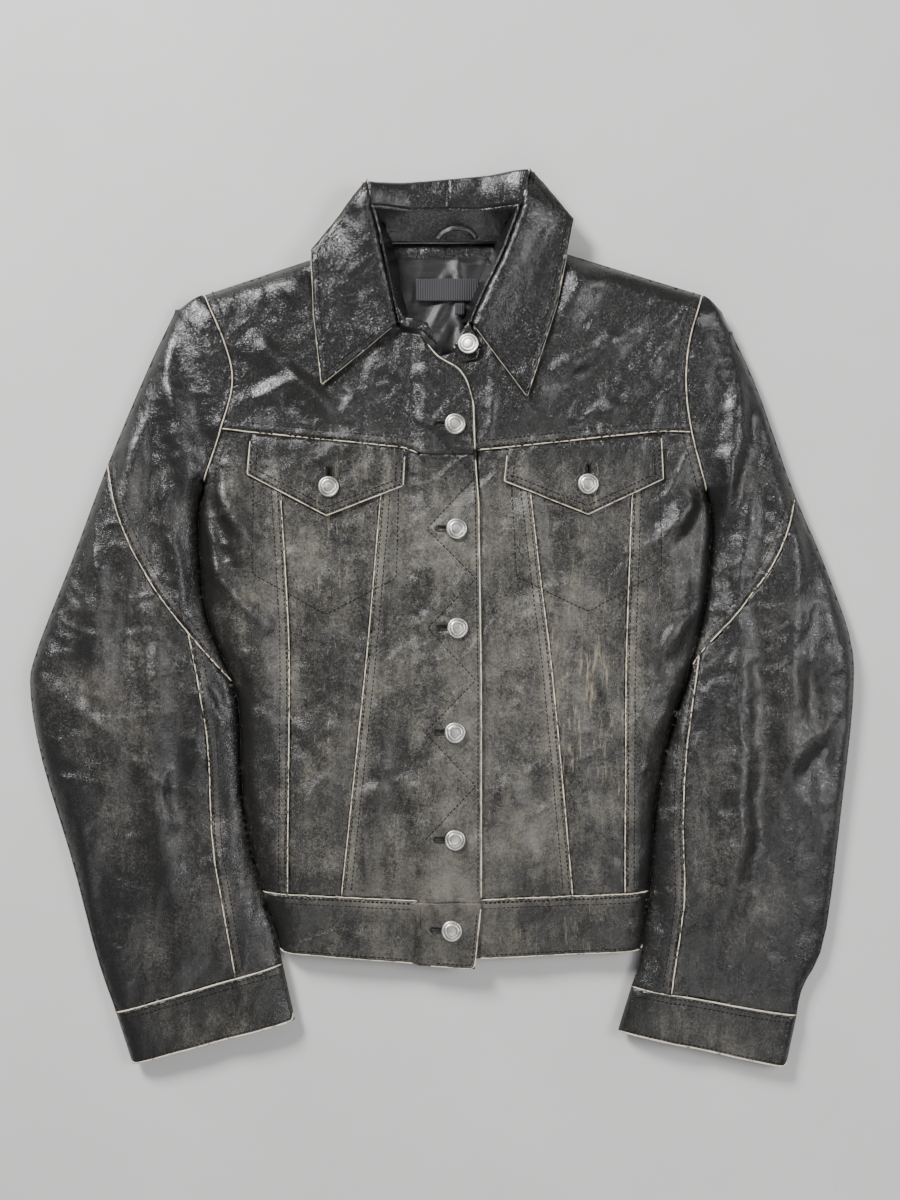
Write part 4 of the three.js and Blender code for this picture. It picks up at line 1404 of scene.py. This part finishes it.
def tube(line, height, radius, lift, seed):
    """A thin uneven bead along the line."""
    sides = 5
    line = resampled(line, max(3, int(np.linalg.norm(np.diff(line, axis=0), axis=1).sum() / 2.2)))
    core = np.column_stack([line, height(line) + lift])
    along = np.gradient(core, axis=0)
    along /= np.maximum(np.linalg.norm(along, axis=1), 1e-9)[:, None]
    across = np.stack([-along[:, 1], along[:, 0], np.zeros(len(core))], 1)
    across /= np.maximum(np.linalg.norm(across, axis=1), 1e-9)[:, None]
    up = np.cross(along, across)
    size = radius * (0.75 + 0.6 * fractal(line, 11, 2, seed))
    size[[0, -1]] = 0.05
    turns = [2 * math.pi * k / sides for k in range(sides)]
    co = np.stack([core + size[:, None] * (across * math.cos(t) + up * math.sin(t)) for t in turns], 1)
    faces = []
    for i in range(len(core) - 1):
        for k in range(sides):
            a, b = i * sides + k, i * sides + (k + 1) % sides
            faces.append((a, a + sides, b + sides, b))
    last = (len(core) - 1) * sides
    faces += [tuple(range(sides)), tuple(last + k for k in range(sides))[::-1]]
    return co.reshape(-1, 3), faces


def gathered(name, parts, material, body, slot, blend=None):
    """One piece from many small meshes."""
    co, faces, first = [], [], 0
    for part_co, part_faces in parts:
        co.append(part_co)
        faces += [tuple(v + first for v in face) for face in part_faces]
        first += len(part_co)
    if not faces:
        return None
    piece = make(name, np.concatenate(co), faces, material)
    return place(piece, body, slot, (), blend)


def rows_beside(line, distances=SEAM_ROWS):
    return [offset(line, d)[2:-2] for d in distances]


def sewing(name, lines, height, body="torso", blend=None):
    parts = [capsules(line, height) for line in lines if len(line) > 3]
    return gathered(f"{name}_stitching", parts, THREAD, body, "leather_trim", blend)


def beading(name, lines, height, body="torso", blend=None, radius=0.5, lift=0.1):
    parts = [tube(line, height, radius, lift, 120 + k) for k, line in enumerate(lines)
             if len(line) > 3]
    return gathered(f"{name}_worn_edge", parts, WORN_EDGE, body, "leather_shell", blend)


def bound_slit(loop, height, lift=0.15):
    """Thread whipped round a buttonhole."""
    parts = []
    line = resampled(np.concatenate([loop, loop[:1]]), 46)
    for a, b in zip(offset(line, 0.1), offset(line, -1.5)):
        parts.append(capsules(np.array([a, b]), height, 1.5, 1.6, 0.34, lift))
    return parts


def front_sewing(flaps):
    """Seams of the two fronts."""
    edge = front_edge_blend()
    for side in SIDES:
        waist = f"waistband_{side}"
        bodies = (f"side_panel_{side}", f"middle_panel_{side}", f"centre_panel_{side}")
        yoke = [yoke_line(side)]
        ups = [eased(shared(bodies[k], bodies[1])) for k in (0, 2)]
        waist_top = eased(shared(waist, *bodies))
        hem = eased(free(waist, *bodies, "waistband_tab_right", near=1.2))
        hem = hem[hem[:, 1] < corners(waist)[0][1] + 14]
        height = lapped if side == "right" else front
        lines = [row for line in yoke + ups + [waist_top] for row in rows_beside(eased(line))]
        lines += rows_beside(hem, (2.6,)) + rows_beside(waist_top, (3.0,))
        keep = [line for line in lines if len(line) > 4]
        sewing(f"front_{side}", keep, height, blend=edge if side == "right" else None)
        beading(f"front_{side}", ups + [waist_top] + [eased(line) for line in yoke], height,
                blend=edge if side == "right" else None, radius=0.55, lift=0.25)
        beading(f"hem_{side}", [hem], lambda p, h=height: h(p) - 0.5, radius=0.6,
                blend=edge if side == "right" else None)
    armholes = [offset(line, -0.3) for line in ARMHOLES.values()]
    sewing("armhole", [row for line in ARMHOLES.values() for row in rows_beside(line[::-1])], front)
    beading("armhole", armholes, front, radius=0.55, lift=0.5)


def button_edge():
    """The over-edge of the right front: its worn fold, topstitching, zigzags and buttonholes."""
    edge = front_edge_blend()
    nodes = ("yoke_edge_right", "placket_right", "waistband_tab_right")
    over = [eased(free(node, *[other for other in nodes if other != node],
                       "centre_panel_right", "yoke_right", "waistband_right", near=1.2))
            for node in nodes]
    over = [line[line[:, 0] > EDGE_FOLD + 6] for line in over]
    beading("button_edge", over, lambda p: lapped(p) - 0.5, body="front_edge", radius=0.75, lift=0.0)
    inner = [row for line in over for row in rows_beside(line, (2.6,))]
    sewing("button_edge", inner, lapped, body="front_edge")
    sewing("zigzag", ZIGZAGS, lapped, blend=edge)
    parts = [part for loop in FRONT_SLITS.values() for part in bound_slit(loop, lapped)]
    gathered("buttonholes_bound", parts, THREAD, "torso", "leather_trim", edge)


def pocket_sewing(flaps):
    for side in SIDES:
        rim = dense(loops(f"pocket_bag_{side}")[0], 3, closed=True)
        below = rim[:, 1] < corners(f"pocket_flap_{side}")[0][1] + 38
        line = eased(offset(runs(rim, below)[0], 1.5))
        sewing(f"pocket_{side}", [line], front)
        outline, height = flaps[side]
        body = f"{side}_flap"
        lower = runs(outline, nearest(outline, yoke_line(side))[0] > 4.5)[0]
        sewing(f"flap_{side}", rows_beside(lower, (2.2, 6.8)), height, body=body)
        beading(f"flap_{side}", [offset(lower, 0.2)], lambda p, h=height: h(p) - 0.5, body=body,
                radius=0.6)
        gathered(f"flap_slit_{side}", bound_slit(FLAP_SLITS[side], height), THREAD, body,
                 "leather_trim")


def collar_sewing(leaves):
    for side in SIDES:
        outline, height, turn = leaves[side]
        outer = runs(outline, nearest(outline, ROLL[side])[0] > 5)[0]
        sewing(f"collar_{side}", rows_beside(outer, (5.5,)), height, blend=turn)
        beading(f"collar_{side}", [offset(outer, 0.2)], lambda p, h=height: h(p) - 0.9, blend=turn,
                radius=0.7)


def sleeve_sewing(side):
    body = f"{side}_sleeve"
    cuff = f"cuff_{side}"
    elbow, forearm = SLEEVE_SEAMS[side]

    def height(p):
        return sleeve(p, side)

    def cuff_height(p):
        return sleeve_top(p, side) + sleeve_folds(p, side) * 0.55 + 0.7

    sewing(f"sleeve_{side}", rows_beside(elbow) + rows_beside(forearm), height, body=body)
    beading(f"sleeve_{side}", [elbow, forearm], height, body=body, radius=0.55, lift=0.25)
    top = eased(shared(cuff, f"sleeve_forearm_{side}", f"sleeve_inner_{side}"))
    outline = dense(loops(cuff)[0], 3, closed=True)
    reach = nearest(outline, top)[0]
    bottom = eased(runs(outline, reach > reach.max() - 8)[0])
    sewing(cuff, rows_beside(top, (2.4, 6.5)) + rows_beside(bottom, (2.6,)), cuff_height, body=body)
    beading(cuff, [top, offset(bottom, 0.3)], cuff_height, body=body, radius=0.7, lift=-0.1)


# ---- Stage -----------------------------------------------------------------------------

def studio():
    floor_material = Nodes("pale_floor", 0.8)
    speckle = floor_material.noise(5, 6, 0.6)
    floor_material.finish(floor_material.mix(speckle, (0.46, 0.46, 0.45, 1), (0.56, 0.56, 0.55, 1)))
    bpy.ops.mesh.primitive_plane_add(size=12, location=(0, 0, -0.0008))
    floor = bpy.context.object
    floor.name = "studio_floor"
    floor.data.materials.append(floor_material.material)
    for name, where, size, power in (("key", (-1.35, 1.65, 1.55), 0.7, 135),
                                     ("fill", (1.5, 0.2, 1.7), 0.8, 32),
                                     ("low", (0.2, -1.5, 1.7), 1.2, 14)):
        light = bpy.data.lights.new(name, "AREA")
        light.size, light.energy = size, power
        lamp = bpy.data.objects.new(name, light)
        lamp.location = where
        lamp.rotation_euler = (-Vector(where)).to_track_quat("-Z", "Y").to_euler()
        bpy.context.scene.collection.objects.link(lamp)
    world = bpy.data.worlds.new("studio")
    world.use_nodes = True
    world.node_tree.nodes["Background"].inputs["Color"].default_value = (0.95, 0.97, 1.0, 1)
    world.node_tree.nodes["Background"].inputs["Strength"].default_value = 0.26
    bpy.context.scene.world = world


def overhead_camera():
    """Straight above, with the jacket a little below the middle of the picture."""
    low, high = np.array(CAD_BOX[0]), np.array(CAD_BOX[1])
    lens = bpy.data.cameras.new("overhead")
    lens.lens, lens.sensor_width = 50, 36
    height = 1.348 * (high - low)[1] * lens.lens / lens.sensor_width
    camera = bpy.data.objects.new("overhead", lens)
    camera.location = (0.0068, 0.0157, height)
    bpy.context.scene.collection.objects.link(camera)
    bpy.context.scene.camera = camera


# ---- The jacket ------------------------------------------------------------------------

overhead_camera()
studio()
right_front()
left_front()
facings()
back()
flaps = {side: flap(side) for side in SIDES}
leaves = {side: leaf(side) for side in SIDES}
collar_stand()
collar_ends()
collar_fall()
label_and_loop(back_lining())
front_linings()
sleeve_linings()
pocket_bags()
buttons({side: height for side, (_, height) in flaps.items()})
front_sewing(flaps)
button_edge()
pocket_sewing(flaps)
collar_sewing(leaves)
for side in SIDES:
    sleeves(side)
    sleeve_sewing(side)

bpy.context.view_layer.update()
